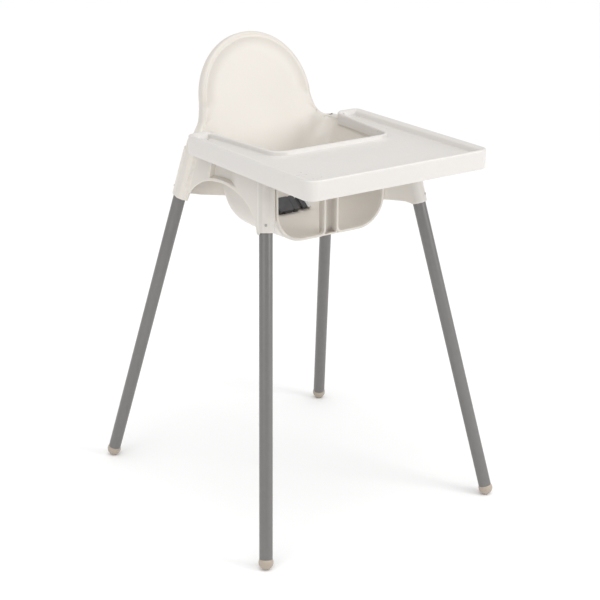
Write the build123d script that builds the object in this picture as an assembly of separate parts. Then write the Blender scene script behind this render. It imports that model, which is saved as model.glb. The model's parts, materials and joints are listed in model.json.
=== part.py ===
from build123d import *
import math
import os

os.makedirs("parts", exist_ok=True)

# ---------------------------------------------------------------------------
# Baby high chair. All sizes in millimetres. The origin is on the floor, below
# the middle of the chair. The child faces -Y, +X is to the right, +Z is up.
# ---------------------------------------------------------------------------

# Overall sizes
overall_height = 900.0
overall_depth = 647.0
floor_to_deck = 722.3

# Legs, their feet and their sockets
leg_dia = 25.0
leg_wall = 1.2
foot_r = 14.0
foot_flat_r = 5.5
foot_plug_length = 26.0
foot_plug_gap = 0.15
front_foot_x = 266.0
rear_foot_x = 268.0
front_foot_y = -279.5
socket_bottom_z = 594.0
front_socket_x = 177.5
front_socket_y = -152.4
rear_socket_x = 178.8
rear_socket_y = 154.5
socket_wall = 3.85
socket_gap = 0.15
leg_insertion = 104.0
socket_cap = 8.0

# Snap buttons that lock the legs in their sockets
button_dia = 5.2
button_fit = 0.05
button_hole_dia = 6.6
button_above_mouth = 20.0
button_proud = 1.4
button_travel = 4.8
button_head_dia = 8.0
button_head_thick = 1.2
button_head_gap = 0.1
button_side = 33.5
spring_strip = 0.5
spring_width = 6.0
spring_length = 24.0
spring_gap = 0.3

# Seat shell
wall = 3.0
bucket_half_width = 125.0
bucket_front_y = -104.0
bucket_front_z = 553.0
bucket_rear_z = 547.0
bucket_side_radius = 60.0
bucket_rear_radius = 52.0
bucket_straight_z = 613.0
arm_gap = 4.0
recline_slope = 0.30
back_face_y = 144.3
back_face_z = 770.0
back_half_width = 127.0
back_depth = 20.0
back_edge_radius = 8.0
back_flare = 35.0
skirt_top_half_width = 177.0
skirt_bottom_half_width = 192.5
arch_centre_y = -15.0
arch_half_span = 128.0
arch_base_z = 594.0
arch_rise = 68.0
pocket_depth = 10.0
pocket_front_y = -62.0
pocket_rear_y = 35.0
pocket_ledge = 5.0

# Leg holes and the post between them
hole_outer_x = 120.0
hole_inner_x = 20.0
hole_bottom_z = 559.0
hole_top_z = 690.0
hole_outer_radius = 58.0
hole_inner_radius = 8.0
hole_top_radius = 14.0
lip_width = 3.0
lip_proud = 5.0
post_recess = 19.0
bar_height = 24.0
bar_front_y = -121.0

# Tray
tray_half_width = 201.0
tray_rear_y = 86.0
tray_rim_above_deck = 15.3
tray_skirt = 36.0
tray_wall = 2.8
tray_floor_gap = 0.5
tray_corner = 22.0
tray_rim_width = 5.0
tray_rim_slope = 6.0
cutout_front_y = -114.0
cutout_front_half_width = 128.0
cutout_rear_half_width = 147.1
cutout_corner = 24.0
lip_bead = 6.5
lip_drop = 3.0
lip_skirt = 20.0

# Belt
strap_width = 25.0
strap_thick = 1.6
slot_x = 66.0
slot_gap = 1.2
strap_off_wall = 9.0
strap_bend = 4.0
strap_end_gap = 1.1
anchor_dia = 5.0
anchor_gap = 0.35
buckle_centre_x = 6.0
buckle_length = 34.0
buckle_height = 34.0
buckle_thick = 10.0
buckle_wall = 2.0
buckle_fit = 0.5
keeper_wall = 2.0
keeper_length = 9.0
keeper_x = 45.0
label_length = 16.0
label_width = 7.0
label_thick = 0.5
label_gap_from_slot = 1.0

# ---------------------------------------------------------------------------
# Values worked out from the sizes above
# ---------------------------------------------------------------------------
tilt = math.atan(recline_slope)
cos_tilt = math.cos(tilt)
sin_tilt = math.sin(tilt)
rear_foot_y = overall_depth / 2 - foot_r
tray_front_y = -overall_depth / 2
tray_top = floor_to_deck + tray_rim_above_deck
socket_r = leg_dia / 2 + socket_gap + socket_wall
deck_bottom = floor_to_deck - wall
back_plane = Plane(
    origin=(0, back_face_y, back_face_z),
    x_dir=(1, 0, 0),
    z_dir=(0, -cos_tilt, sin_tilt),
)


def back_y(z, behind=0.0):
    """Y of the reclined back face at height z, moved back by a thickness."""
    return back_face_y + recline_slope * (z - back_face_z) + behind / cos_tilt


def save(node, shape):
    """Write one node to its own STEP file."""
    if isinstance(shape, (list, tuple, ShapeList)):
        shape = Compound(children=list(shape))
    shape.label = node
    export_step(shape, os.path.join("parts", node + ".step"))


def prism(points, plane, start, length):
    """A flat outline on a plane, moved by start and raised by length."""
    face = make_face(Polyline(*points, close=True))
    return extrude(plane.offset(start) * face, length)


def mirrored(shape):
    """The same shape on the other side of the chair."""
    return shape.mirror(Plane.YZ)


# ---------------------------------------------------------------------------
# Leg axes
# ---------------------------------------------------------------------------
def leg_axis(side, end):
    """Foot centre, socket mouth and unit direction of one leg."""
    front = end == "front"
    foot_x = front_foot_x if front else rear_foot_x
    foot_y = front_foot_y if front else rear_foot_y
    top_x = front_socket_x if front else rear_socket_x
    top_y = front_socket_y if front else rear_socket_y
    foot = Vector(side * foot_x, foot_y, foot_r)
    mouth = Vector(side * top_x, top_y, socket_bottom_z)
    return foot, mouth, (mouth - foot).normalized()


def along(origin, direction):
    """A plane whose normal runs along a leg, with its X turned to face the snap button."""
    facing = Vector(origin.X, 0, 0).normalized() * math.sin(math.radians(button_side))
    facing = facing + Vector(0, math.copysign(math.cos(math.radians(button_side)), origin.Y), 0)
    facing = facing - direction * facing.dot(direction)
    return Plane(origin=origin, x_dir=facing, z_dir=direction)


def rod(origin, direction, radius, start, length):
    """A round rod along a leg, from start to start + length."""
    plane = along(origin, direction).offset(start)
    return extrude(plane * Circle(radius), length)


# ---------------------------------------------------------------------------
# Seat shell
# ---------------------------------------------------------------------------
def trough(inset):
    """The closed lower part of the bucket, shrunk by an inset."""
    half = bucket_half_width - inset
    low = min(bucket_front_z, bucket_rear_z) - 20
    top = bucket_straight_z
    section = Polyline(
        (-half, top), (-half, low + 20 + inset), (half, low + 20 + inset), (half, top), close=True
    )
    section = make_face(section)
    corners = section.vertices().group_by(Axis.Y)[0]
    section = fillet(corners, bucket_side_radius - inset)
    across = extrude(Plane.XZ.offset(300) * section, -600)
    front = bucket_front_y + inset
    side = Polyline(
        (front, top),
        (front, bucket_front_z + inset),
        (back_y(bucket_rear_z + inset, wall - inset), bucket_rear_z + inset),
        (back_y(top, wall - inset), top),
        close=True,
    )
    side = make_face(side)
    heel = side.vertices().sort_by(Axis.Y)[0:2].sort_by(Axis.X)[-1]
    side = fillet(heel, bucket_rear_radius - inset)
    return across & extrude(Plane.YZ.offset(-200) * side, 400)


def arm_half_width(y, inset):
    """Half width between the arm rests' outer faces at Y, following the tray's opening."""
    spread = (cutout_rear_half_width - cutout_front_half_width) / (tray_rear_y - cutout_front_y)
    cutout_half = cutout_front_half_width + spread * (y - cutout_front_y)
    return cutout_half + tray_wall + arm_gap + wall - inset


def funnel(inset):
    """The upper part of the bucket, which widens towards the arm rests."""
    front = bucket_front_y + inset
    faces = []
    for z in (bucket_straight_z, floor_to_deck):
        rear = back_y(z, wall - inset)
        if z < floor_to_deck:
            front_half = bucket_half_width - inset
            rear_half = front_half
        else:
            front_half = arm_half_width(front, inset)
            rear_half = arm_half_width(rear, inset)
        outline = Polyline(
            (-front_half, front), (front_half, front), (rear_half, rear), (-rear_half, rear), close=True
        )
        faces.append(Plane.XY.offset(z) * make_face(outline))
    return loft(faces, ruled=True)


def back_outline(inset):
    """Outline of the backrest in its own plane: a round top and flared feet."""
    half = back_half_width - inset
    lift = back_edge_radius * recline_slope
    crown_z = overall_height - back_face_z - back_edge_radius * (1 - sin_tilt)
    rise = crown_z / cos_tilt + back_edge_radius - lift - inset
    foot = -(back_face_z - floor_to_deck) / cos_tilt - 6
    flare = back_flare - inset * 0.3
    crown = EllipticalCenterArc((0, lift), half, rise, start_angle=0, arc_size=180)
    right = Bezier((half, lift), (half, foot * 0.55), (half + 10, foot + 4), (half + flare, foot))
    left = Bezier((-half, lift), (-half, foot * 0.55), (-half - 10, foot + 4), (-half - flare, foot))
    base = Line((-half - flare, foot), (half + flare, foot))
    return make_face([crown, right, left, base])


def backrest():
    """The reclined back panel with its edge rolled backwards, open at the rear."""
    outer = extrude(back_plane.offset(-back_depth) * back_outline(0), back_depth)
    front = outer.faces().sort_by(Axis(back_plane.origin, back_plane.z_dir))[-1]
    rolled = [edge for edge in front.edges() if edge.center().Z > floor_to_deck]
    outer = fillet(rolled, back_edge_radius)
    inner = extrude(back_plane.offset(-back_depth - 1) * back_outline(wall), back_depth + 1 - wall)
    front = inner.faces().sort_by(Axis(back_plane.origin, back_plane.z_dir))[-1]
    rolled = [edge for edge in front.edges() if edge.center().Z > floor_to_deck]
    inner = fillet(rolled, back_edge_radius - wall)
    return outer, inner


def skirt_x(z):
    """Half width of the skirt's outer face at height z."""
    share = (floor_to_deck - z) / (floor_to_deck - socket_bottom_z)
    return skirt_top_half_width + share * (skirt_bottom_half_width - skirt_top_half_width)


def skirt_slab(inside, thick):
    """A leaning slab parallel to the right skirt, inside by a depth and that thick."""
    low = socket_bottom_z
    top = floor_to_deck
    points = [
        (skirt_x(top) - inside, top),
        (skirt_x(low) - inside, low),
        (skirt_x(low) - inside - thick, low),
        (skirt_x(top) - inside - thick, top),
    ]
    return prism(points, Plane.XZ, -300, 600)


def side_outline(face):
    """A side view outline made into a solid through the right half of the chair."""
    return extrude(Plane.YZ.offset(100) * face, 200)


def skirt():
    """The right skirt panel with its arch and its shallow pocket."""
    front_foot, front_mouth, front_dir = leg_axis(1, "front")
    rear_foot, rear_mouth, rear_dir = leg_axis(1, "rear")
    rise = floor_to_deck - socket_bottom_z
    front_top_y = front_mouth.Y + front_dir.Y / front_dir.Z * rise
    rear_top_y = rear_mouth.Y + rear_dir.Y / rear_dir.Z * rise
    panel = Polyline(
        (front_mouth.Y, socket_bottom_z),
        (rear_mouth.Y, socket_bottom_z),
        (rear_top_y, floor_to_deck),
        (front_top_y, floor_to_deck),
        close=True,
    )
    arch = Pos(arch_centre_y, arch_base_z) * Ellipse(arch_half_span, arch_rise)
    panel = make_face(panel) - arch
    keep_out = Pos(arch_centre_y, arch_base_z) * Ellipse(
        arch_half_span + pocket_ledge, arch_rise + pocket_ledge
    )
    middle = (pocket_front_y + pocket_rear_y) / 2
    span = pocket_rear_y - pocket_front_y
    pocket = Pos(middle, deck_bottom - 60) * Rectangle(span, 120) - keep_out
    backing = Pos(middle, deck_bottom - 60 + wall / 2) * Rectangle(span + 2 * wall, 120 + wall)
    backing = backing - arch
    body = skirt_slab(0, wall) & side_outline(panel)
    body += skirt_slab(0, pocket_depth + wall) & side_outline(backing)
    return body - (skirt_slab(-1, pocket_depth + 1) & side_outline(pocket))


def thin_wall(x0, y0, x1, y1):
    """Plan of a thin wall between two points, one wall thick."""
    run = Vector(x1 - x0, y1 - y0)
    side = Vector(-run.Y, run.X) * (wall / 2 / run.length)
    return make_face(
        Polyline(
            (x0 + side.X, y0 + side.Y),
            (x1 + side.X, y1 + side.Y),
            (x1 - side.X, y1 - side.Y),
            (x0 - side.X, y0 - side.Y),
            close=True,
        )
    )


def corner_web(end):
    """The upright web that joins a socket to the bucket on the right side."""
    foot, mouth, direction = leg_axis(1, end)
    low = socket_bottom_z + 4
    top = floor_to_deck
    faces = []
    for z in (low, top):
        reach = (z - mouth.Z) / direction.Z
        axis_x = mouth.X + direction.X * reach
        axis_y = mouth.Y + direction.Y * reach
        share = (z - bucket_straight_z) / (top - bucket_straight_z)
        share = max(share, 0.0)
        if end == "front":
            inner_y = bucket_front_y + wall / 2
        else:
            inner_y = back_y(z, wall / 2)
        inner_x = bucket_half_width + share * (arm_half_width(inner_y, 0) - bucket_half_width)
        faces.append(Plane.XY.offset(z) * thin_wall(inner_x - wall, inner_y, axis_x, axis_y))
    return loft(faces, ruled=True)


def socket(side, end):
    """One leg socket: its outer column and the bore that takes the leg."""
    foot, mouth, direction = leg_axis(side, end)
    column_length = (deck_bottom + wall / 2 - mouth.Z) / direction.Z
    column = rod(mouth, direction, socket_r, 0, column_length)
    column = column - Pos(0, 0, floor_to_deck + 50) * Box(600, 600, 100)
    bore = rod(mouth, direction, leg_dia / 2 + socket_gap, -5, leg_insertion + 5 + socket_gap)
    plane = along(mouth, direction).offset(button_above_mouth)
    across = Plane(origin=plane.origin, x_dir=plane.z_dir, z_dir=plane.x_dir)
    eye = extrude(across * Circle(button_hole_dia / 2), socket_r + 3)
    return column, bore + eye


def leg_hole_outline(grow):
    """Front view outline of the right leg hole, enlarged by grow."""
    left = hole_inner_x - grow
    right = hole_outer_x + grow
    low = hole_bottom_z - grow
    top = hole_top_z + grow
    outline = make_face(Polyline((left, low), (right, low), (right, top), (left, top), close=True))
    corners = outline.vertices().sort_by(Axis.Y)
    lower = corners[0:2].sort_by(Axis.X)
    outline = fillet(lower[1], hole_outer_radius + grow)
    lower = outline.vertices().sort_by(Axis.X)[0:2].sort_by(Axis.Y)[0]
    outline = fillet(lower, hole_inner_radius + grow)
    upper = outline.vertices().sort_by(Axis.Y)[-2:]
    return fillet(upper, hole_top_radius + grow)


def strap_slot(side):
    """The upright slot in the low back that one lap strap passes through."""
    outline = Pos(side * slot_x, 0) * SlotOverall(
        strap_width + 2 * slot_gap, strap_thick + 2 * slot_gap, rotation=90
    )
    return extrude(belt_frame.offset(-3 * wall) * outline, 7 * wall)


def seat_shell():
    """The one-piece moulded seat."""
    outer_back, inner_back = backrest()
    shell = trough(0) + funnel(0)
    deck_half = skirt_top_half_width
    rear_edge = back_y(floor_to_deck, wall)
    deck = Polyline(
        (-deck_half, front_socket_y + 27),
        (-deck_half + 16, front_socket_y + 10),
        (deck_half - 16, front_socket_y + 10),
        (deck_half, front_socket_y + 27),
        (deck_half, rear_socket_y - 32),
        (deck_half - 10, rear_edge),
        (-deck_half + 10, rear_edge),
        (-deck_half, rear_socket_y - 32),
        close=True,
    )
    shell += extrude(Plane.XY.offset(deck_bottom) * make_face(deck), wall)
    bar_depth = bucket_front_y - bar_front_y + wall
    bar_middle = (bar_front_y + bucket_front_y + wall) / 2
    bar_half = arm_half_width(bucket_front_y, 0)
    shell += Pos(0, bar_middle, floor_to_deck - bar_height / 2) * Box(
        2 * bar_half, bar_depth, bar_height
    )
    shell += outer_back - inner_back
    right = skirt()
    right += corner_web("front")
    right += corner_web("rear")
    shell += right
    shell += mirrored(right)
    cuts = []
    for side in (-1, 1):
        for end in ("front", "rear"):
            column, bore = socket(side, end)
            shell += column
            cuts.append(bore)
    shell -= trough(wall) + funnel(wall)
    shell -= Pos(0, bar_middle + wall / 2, floor_to_deck - bar_height / 2 + wall) * Box(
        2 * (bar_half - wall), bar_depth - wall, bar_height
    )
    channel_half = hole_inner_x - wall
    post_y = bucket_front_y + post_recess
    outer_post = Pos(0, (bucket_front_y + post_y) / 2, (bucket_front_z + hole_top_z) / 2) * Box(
        2 * hole_inner_x, post_recess, hole_top_z - bucket_front_z
    )
    shell += outer_post
    for side in (-1, 1):
        hole = leg_hole_outline(0)
        lip = leg_hole_outline(lip_width) - hole
        if side < 0:
            hole = hole.mirror(Plane.YZ)
            lip = lip.mirror(Plane.YZ)
        shell += extrude(Plane.XZ.offset(-bucket_front_y) * lip, lip_proud)
        cuts.append(extrude(Plane.XZ.offset(-bucket_front_y - wall - 1) * hole, lip_proud + wall + 3))
        cuts.append(strap_slot(side))
    for cut in cuts:
        shell -= cut
    channel_top = hole_top_z - wall
    channel_bottom = bucket_rear_z - 10
    shell -= Pos(0, post_y - wall - 20, (channel_top + channel_bottom) / 2) * Box(
        2 * channel_half, 40, channel_top - channel_bottom
    )
    return shell


# ---------------------------------------------------------------------------
# Legs, feet and snap buttons
# ---------------------------------------------------------------------------
def leg_length(end):
    """Length of a leg tube from the foot's middle to its top."""
    foot, mouth, direction = leg_axis(1, end)
    return (mouth - foot).length + leg_insertion


def leg(side, end):
    """A round tube, open at both ends, with the hole for its snap button."""
    foot, mouth, direction = leg_axis(side, end)
    length = leg_length(end)
    start = foot_r * 0.45
    tube = rod(foot, direction, leg_dia / 2, start, length - start)
    tube -= rod(foot, direction, leg_dia / 2 - leg_wall, start - 1, length - start + 2)
    plane = along(mouth, direction).offset(button_above_mouth)
    across = Plane(origin=plane.origin, x_dir=plane.z_dir, z_dir=plane.x_dir)
    return tube - extrude(across * Circle(button_dia / 2 + button_fit), leg_dia)


def foot_piece(side, end):
    """A ball foot, flat where it stands, with the plug that goes up inside the tube."""
    foot, mouth, direction = leg_axis(side, end)
    ball = Pos(foot.X, foot.Y, foot.Z) * Sphere(foot_r)
    flat_drop = math.sqrt(foot_r**2 - foot_flat_r**2)
    ball += Pos(foot.X, foot.Y, foot.Z - foot_r) * Cylinder(
        foot_flat_r, foot_r - flat_drop / 2, align=(Align.CENTER, Align.CENTER, Align.MIN)
    )
    start = foot_r * 0.45
    seat = rod(foot, direction, leg_dia / 2 + foot_plug_gap, start - foot_plug_gap, foot_r)
    plug = rod(foot, direction, leg_dia / 2 - leg_wall - foot_plug_gap, 0, foot_plug_length)
    return ball - seat + plug


def button_head_top():
    """Distance from the leg's axis to the top of the button's flat head, inside the round tube."""
    inside = leg_dia / 2 - leg_wall - button_head_gap
    return math.sqrt(inside * inside - button_head_dia * button_head_dia / 4)


def button(side, end):
    """A snap button: a round pin with a domed tip and a head inside the tube."""
    foot, mouth, direction = leg_axis(side, end)
    plane = along(mouth, direction).offset(button_above_mouth)
    across = Plane(origin=plane.origin, x_dir=plane.z_dir, z_dir=plane.x_dir)
    head_top = button_head_top()
    tip = socket_r + button_proud
    head = extrude(across.offset(head_top - button_head_thick) * Circle(button_head_dia / 2), button_head_thick)
    pin = extrude(across.offset(head_top - 0.5) * Circle(button_dia / 2), tip - head_top + 0.5)
    tip_edge = pin.edges().sort_by(Axis(across.origin, across.z_dir))[-1]
    pin = fillet(tip_edge, button_dia / 2 - 0.4)
    return head + pin


def button_spring(side, end):
    """A folded leaf inside the tube that pushes the button's head outwards."""
    foot, mouth, direction = leg_axis(side, end)
    plane = along(mouth, direction).offset(button_above_mouth)
    view = Plane(origin=plane.origin, x_dir=plane.x_dir, z_dir=plane.x_dir.cross(plane.z_dir))
    outer = button_head_top() - button_head_thick - spring_gap - spring_strip / 2
    inside = leg_dia / 2 - leg_wall - spring_gap
    inner = spring_strip / 2 - math.sqrt(inside * inside - spring_width * spring_width / 4)
    bend = spring_length
    upper = Line((outer, 4), (outer, -4))
    slope = Line((outer, -4), (inner + 5, -bend))
    turn = Line((inner + 5, -bend), (inner + 1, -bend))
    back_arm = Line((inner + 1, -bend), (inner, 4))
    path = Wire([upper, slope, turn, back_arm])
    ribbon = offset(path, spring_strip / 2, side=Side.BOTH)
    face = make_face(ribbon) if not isinstance(ribbon, Face) else ribbon
    return extrude(view.offset(-spring_width / 2) * face, spring_width)


# ---------------------------------------------------------------------------
# Tray
# ---------------------------------------------------------------------------
def tray_outline(inset):
    """Plan of the tray's outside, shrunk by an inset."""
    half = tray_half_width - inset
    outline = Polyline(
        (-half, tray_front_y + inset),
        (half, tray_front_y + inset),
        (half, tray_rear_y - inset),
        (-half, tray_rear_y - inset),
        close=True,
    )
    outline = make_face(outline)
    return fillet(outline.vertices(), tray_corner - inset * 0.8)


def cutout_outline(grow):
    """Plan of the opening for the child, enlarged by grow and open to the rear."""
    rear = tray_rear_y + 40
    spread = (cutout_rear_half_width - cutout_front_half_width) / (tray_rear_y - cutout_front_y)
    front_half = cutout_front_half_width + grow
    rear_half = cutout_rear_half_width + spread * 40 + grow
    outline = Polyline(
        (-front_half, cutout_front_y - grow),
        (front_half, cutout_front_y - grow),
        (rear_half, rear),
        (-rear_half, rear),
        close=True,
    )
    outline = make_face(outline)
    front = outline.vertices().sort_by(Axis.Y)[0:2]
    return fillet(front, cutout_corner + grow)


def tray():
    """The moulded tray: a raised rim, an outer skirt and a lip round the opening."""
    bottom = tray_top - tray_skirt
    floor_low = floor_to_deck + tray_floor_gap
    floor_top = floor_low + tray_wall
    block = extrude(Plane.XY.offset(bottom) * (tray_outline(0) - cutout_outline(0)), tray_skirt)
    rim = block.faces().sort_by(Axis.Z)[-1]
    outer_rim = [edge for edge in rim.edges() if abs(edge.center().X) > cutout_rear_half_width + 20]
    outer_rim += [edge for edge in rim.edges() if edge.center().Y < tray_front_y + tray_corner]
    block = fillet(outer_rim, 3.0)
    under = tray_outline(tray_wall) - cutout_outline(tray_wall)
    block -= extrude(Plane.XY.offset(bottom - 1) * under, floor_low - bottom + 1)
    bowl_top = tray_outline(tray_rim_width) - cutout_outline(lip_bead)
    bowl_low = tray_outline(tray_rim_width + tray_rim_slope) - cutout_outline(lip_bead + 2)
    block -= extrude(Plane.XY.offset(floor_top) * bowl_low, 40)
    block -= extrude(Plane.XY.offset((floor_top + tray_top) / 2 + 1) * bowl_top, 40)
    for side in (-1, 1):
        inner_x = cutout_front_half_width
        outer_x = skirt_x(bottom) + 1.5
        notch = Box(outer_x - inner_x, 2 * tray_wall + 2, floor_low - bottom + 1)
        middle_z = (floor_low + bottom - 1) / 2
        block -= Pos(side * (inner_x + outer_x) / 2, tray_rear_y, middle_z) * notch
    lip_low = tray_top - lip_drop - lip_skirt
    trim = cutout_outline(tray_wall + 0.01) - cutout_outline(-5)
    reach = extrude(Plane.XY.offset(bottom - 1) * trim, lip_low - bottom + 1)
    keep = tray_outline(-5) - tray_outline(tray_wall)
    reach -= extrude(Plane.XY.offset(bottom - 2) * keep, 60)
    block -= reach
    level = cutout_outline(lip_bead + 0.01) - cutout_outline(-5)
    level = level & tray_outline(tray_rim_width)
    block -= extrude(Plane.XY.offset(tray_top - lip_drop) * level, 20)
    return block


# ---------------------------------------------------------------------------
# Belt: it rests in the rounded heel of the seat, between the floor and the back,
# and its pieces lie in planes parallel to the heel's middle
# ---------------------------------------------------------------------------
heel_r = bucket_rear_radius - wall
heel_z = bucket_rear_z + wall + heel_r + 1.0
heel_y = back_y(heel_z) - heel_r / cos_tilt
heel_turn = (math.pi / 2 + tilt) / 2
belt_frame = Plane(
    origin=(0, heel_y + heel_r * math.cos(heel_turn), heel_z - heel_r * math.sin(heel_turn)),
    x_dir=(1, 0, 0),
    z_dir=(0, -math.cos(heel_turn), math.sin(heel_turn)),
)
strap_s = -strap_width / 2
strap_mid_s = 0.0
buckle_end = buckle_centre_x + buckle_length / 2
tongue_base = 13.0


def belt_plane(along_s):
    """A plane across the strap at a height along the heel."""
    origin = belt_frame.from_local_coords((0, along_s, 0))
    return Plane(origin=origin, x_dir=(1, 0, 0), z_dir=belt_frame.y_dir)


def ribbon(points, radii):
    """A flat strap of the full width that follows a route seen along its width."""
    route = FilletPolyline(*points, radius=radii)
    edge = offset(route, strap_thick / 2, side=Side.BOTH)
    face = edge if isinstance(edge, Face) else make_face(edge)
    return extrude(belt_plane(strap_s) * face, strap_width)


def lap_strap(side):
    """One lap strap from its anchor behind the shell to its end of the buckle."""
    if side < 0:
        end_x = buckle_centre_x - buckle_length / 2 - strap_end_gap
    else:
        end_x = buckle_end + buckle_fit + tongue_base + strap_end_gap
    behind = anchor_behind() + anchor_dia
    points = [
        (side * slot_x, behind),
        (side * slot_x, -strap_off_wall),
        (end_x, -strap_off_wall),
    ]
    return ribbon(points, [strap_bend])


def anchor_behind():
    """Distance of the anchor bar's middle behind the heel's inner face."""
    return wall + anchor_gap + anchor_dia / 2


def strap_anchor(side):
    """The toggle bar sewn into the strap's end, longer than the slot."""
    behind = anchor_behind()
    half = anchor_dia / 2
    centre = side * (slot_x + strap_thick / 2 + anchor_gap + half)
    plane = belt_plane(strap_s - 5)
    return extrude(plane * (Pos(centre, behind) * Circle(half)), strap_width + 10)


def belt_box(x0, x1, s0, s1, n0, n1):
    """A box in belt coordinates: along X, up the heel and out from its face."""
    solid = Box(x1 - x0, s1 - s0, n1 - n0, align=Align.MIN)
    return belt_frame * Pos(x0, s0, n0) * solid


def buckle_housing():
    """The buckle's socket half, open to the right and at both edges for the prongs."""
    mid = strap_off_wall
    x0 = buckle_centre_x - buckle_length / 2
    half_s = buckle_height / 2
    half_n = buckle_thick / 2
    body = belt_box(
        x0, buckle_end, strap_mid_s - half_s, strap_mid_s + half_s, mid - half_n, mid + half_n
    )
    body = fillet(body.edges().filter_by(Axis((0, 0, 0), belt_frame.z_dir)), 3.0)
    inner_s = half_s - buckle_wall
    inner_n = half_n - buckle_wall
    body -= belt_box(
        x0 + 6, buckle_end + 1, strap_mid_s - inner_s, strap_mid_s + inner_s, mid - inner_n, mid + inner_n
    )
    for side in (-1, 1):
        low = strap_mid_s + side * (half_s - buckle_wall / 2) - buckle_wall
        body -= belt_box(x0 + 8, x0 + 22, low, low + 2 * buckle_wall, mid - inner_n, mid + inner_n)
    return body


def buckle_tongue():
    """The buckle's plug half without its prongs: a base, and a middle guide."""
    mid = strap_off_wall
    x0 = buckle_end + buckle_fit
    half_s = buckle_height / 2
    half_n = buckle_thick / 2
    base = belt_box(
        x0, x0 + tongue_base, strap_mid_s - half_s, strap_mid_s + half_s, mid - half_n, mid + half_n
    )
    base = fillet(base.edges().filter_by(Axis((0, 0, 0), belt_frame.z_dir)), 2.5)
    guide = belt_box(x0 - 20, x0 + 1, strap_mid_s - 2, strap_mid_s + 2, mid - 2.2, mid + 2.2)
    return base + guide


def prong(side):
    """One springy prong with the shoulder that catches in the housing's edge window."""
    mid = strap_off_wall
    tip = buckle_centre_x - buckle_length / 2 + 9
    root = buckle_end + buckle_fit - 0.3
    inner_s = buckle_height / 2 - buckle_wall - 0.4
    points = [
        (root, side * (inner_s - 0.4)),
        (tip + 12.5, side * (inner_s - 0.4)),
        (tip + 12.5, side * (buckle_height / 2 + 0.6)),
        (tip + 6, side * (buckle_height / 2 + 0.6)),
        (tip, side * (inner_s - 1.2)),
        (tip, side * (inner_s - 3.6)),
        (root, side * (inner_s - 3.2)),
    ]
    face = make_face(Polyline(*points, close=True))
    plane = belt_frame.offset(mid - 2.2)
    return extrude(plane * (Pos(0, strap_mid_s) * face), 4.4)


def strap_keeper():
    """A plain loop that holds the strap's spare end flat and slides along it."""
    mid = strap_off_wall
    half_s = strap_width / 2 + buckle_fit + keeper_wall
    half_n = strap_thick / 2 + buckle_fit + keeper_wall
    x0 = keeper_x
    x1 = keeper_x + keeper_length
    ring = belt_box(x0, x1, strap_mid_s - half_s, strap_mid_s + half_s, mid - half_n, mid + half_n)
    half_s = half_s - keeper_wall
    half_n = half_n - keeper_wall
    return ring - belt_box(
        x0 - 1, x1 + 1, strap_mid_s - half_s, strap_mid_s + half_s, mid - half_n, mid + half_n
    )


def care_label():
    """A small blank cloth label sewn to the right strap."""
    front = strap_off_wall + strap_thick / 2
    x1 = slot_x - label_gap_from_slot
    low = strap_s + strap_width / 2
    return belt_box(x1 - label_width, x1, low - label_length, low, front, front + label_thick)


# ---------------------------------------------------------------------------
# Write every node
# ---------------------------------------------------------------------------
save("seat_shell", seat_shell())
save("tray", tray())
for side_name, side_sign in (("left", -1), ("right", 1)):
    for end_name in ("front", "rear"):
        place = end_name + "_" + side_name
        save("leg_" + place, leg(side_sign, end_name))
        save("foot_" + place, foot_piece(side_sign, end_name))
        save("snap_button_" + place, button(side_sign, end_name))
        save("button_spring_" + place, button_spring(side_sign, end_name))
    save("lap_strap_" + side_name, lap_strap(side_sign))
    save("strap_anchor_" + side_name, strap_anchor(side_sign))
save("buckle_housing", buckle_housing())
save("buckle_tongue", buckle_tongue())
save("buckle_prong_upper", prong(1))
save("buckle_prong_lower", prong(-1))
save("strap_keeper", strap_keeper())
save("care_label", care_label())
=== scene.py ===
"""Visible model of the baby high chair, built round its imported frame.

Sizes in the dataclasses are millimetres in the chair's own frame: +Z up, -Y the way the
child faces, and the origin on the floor below the middle of the chair.
"""

import json
import logging
import math
from dataclasses import dataclass, field
from enum import Enum

import bmesh
import bpy
import numpy as np
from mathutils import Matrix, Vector


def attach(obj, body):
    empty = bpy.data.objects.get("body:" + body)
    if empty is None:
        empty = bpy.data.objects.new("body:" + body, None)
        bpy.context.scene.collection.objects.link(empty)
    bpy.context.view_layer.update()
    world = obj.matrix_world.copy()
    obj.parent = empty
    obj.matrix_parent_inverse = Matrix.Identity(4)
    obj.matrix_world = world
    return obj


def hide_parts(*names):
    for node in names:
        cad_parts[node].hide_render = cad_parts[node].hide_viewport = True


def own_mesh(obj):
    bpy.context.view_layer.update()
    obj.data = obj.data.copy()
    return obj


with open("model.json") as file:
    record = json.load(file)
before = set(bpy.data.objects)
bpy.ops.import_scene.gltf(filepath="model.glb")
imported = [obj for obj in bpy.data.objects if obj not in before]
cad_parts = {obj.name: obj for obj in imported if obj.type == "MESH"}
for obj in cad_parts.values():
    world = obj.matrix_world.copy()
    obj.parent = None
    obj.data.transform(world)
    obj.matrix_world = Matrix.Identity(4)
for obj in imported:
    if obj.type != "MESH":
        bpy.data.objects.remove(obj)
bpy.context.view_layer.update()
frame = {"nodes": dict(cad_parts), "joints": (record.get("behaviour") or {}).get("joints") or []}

MM = 0.001
MERGE = 1e-6
SHARP_ANGLE = math.radians(38)
LOG = logging.getLogger("high_chair")


class Side(Enum):
    """Left and right of the chair, as its X sign."""

    LEFT = -1
    RIGHT = 1


class End(Enum):
    """Front and rear of the chair, as the word in its node names."""

    FRONT = "front"
    REAR = "rear"


# ---------------------------------------------------------------------------
# Curves and interpolation
# ---------------------------------------------------------------------------
def smooth(x: np.ndarray | float) -> np.ndarray | float:
    """Ease from 0 to 1.

    Args:
        x: Values, clipped to 0..1.

    Returns:
        The eased values.
    """
    x = np.clip(x, 0.0, 1.0)
    return x * x * (3.0 - 2.0 * x)


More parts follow.
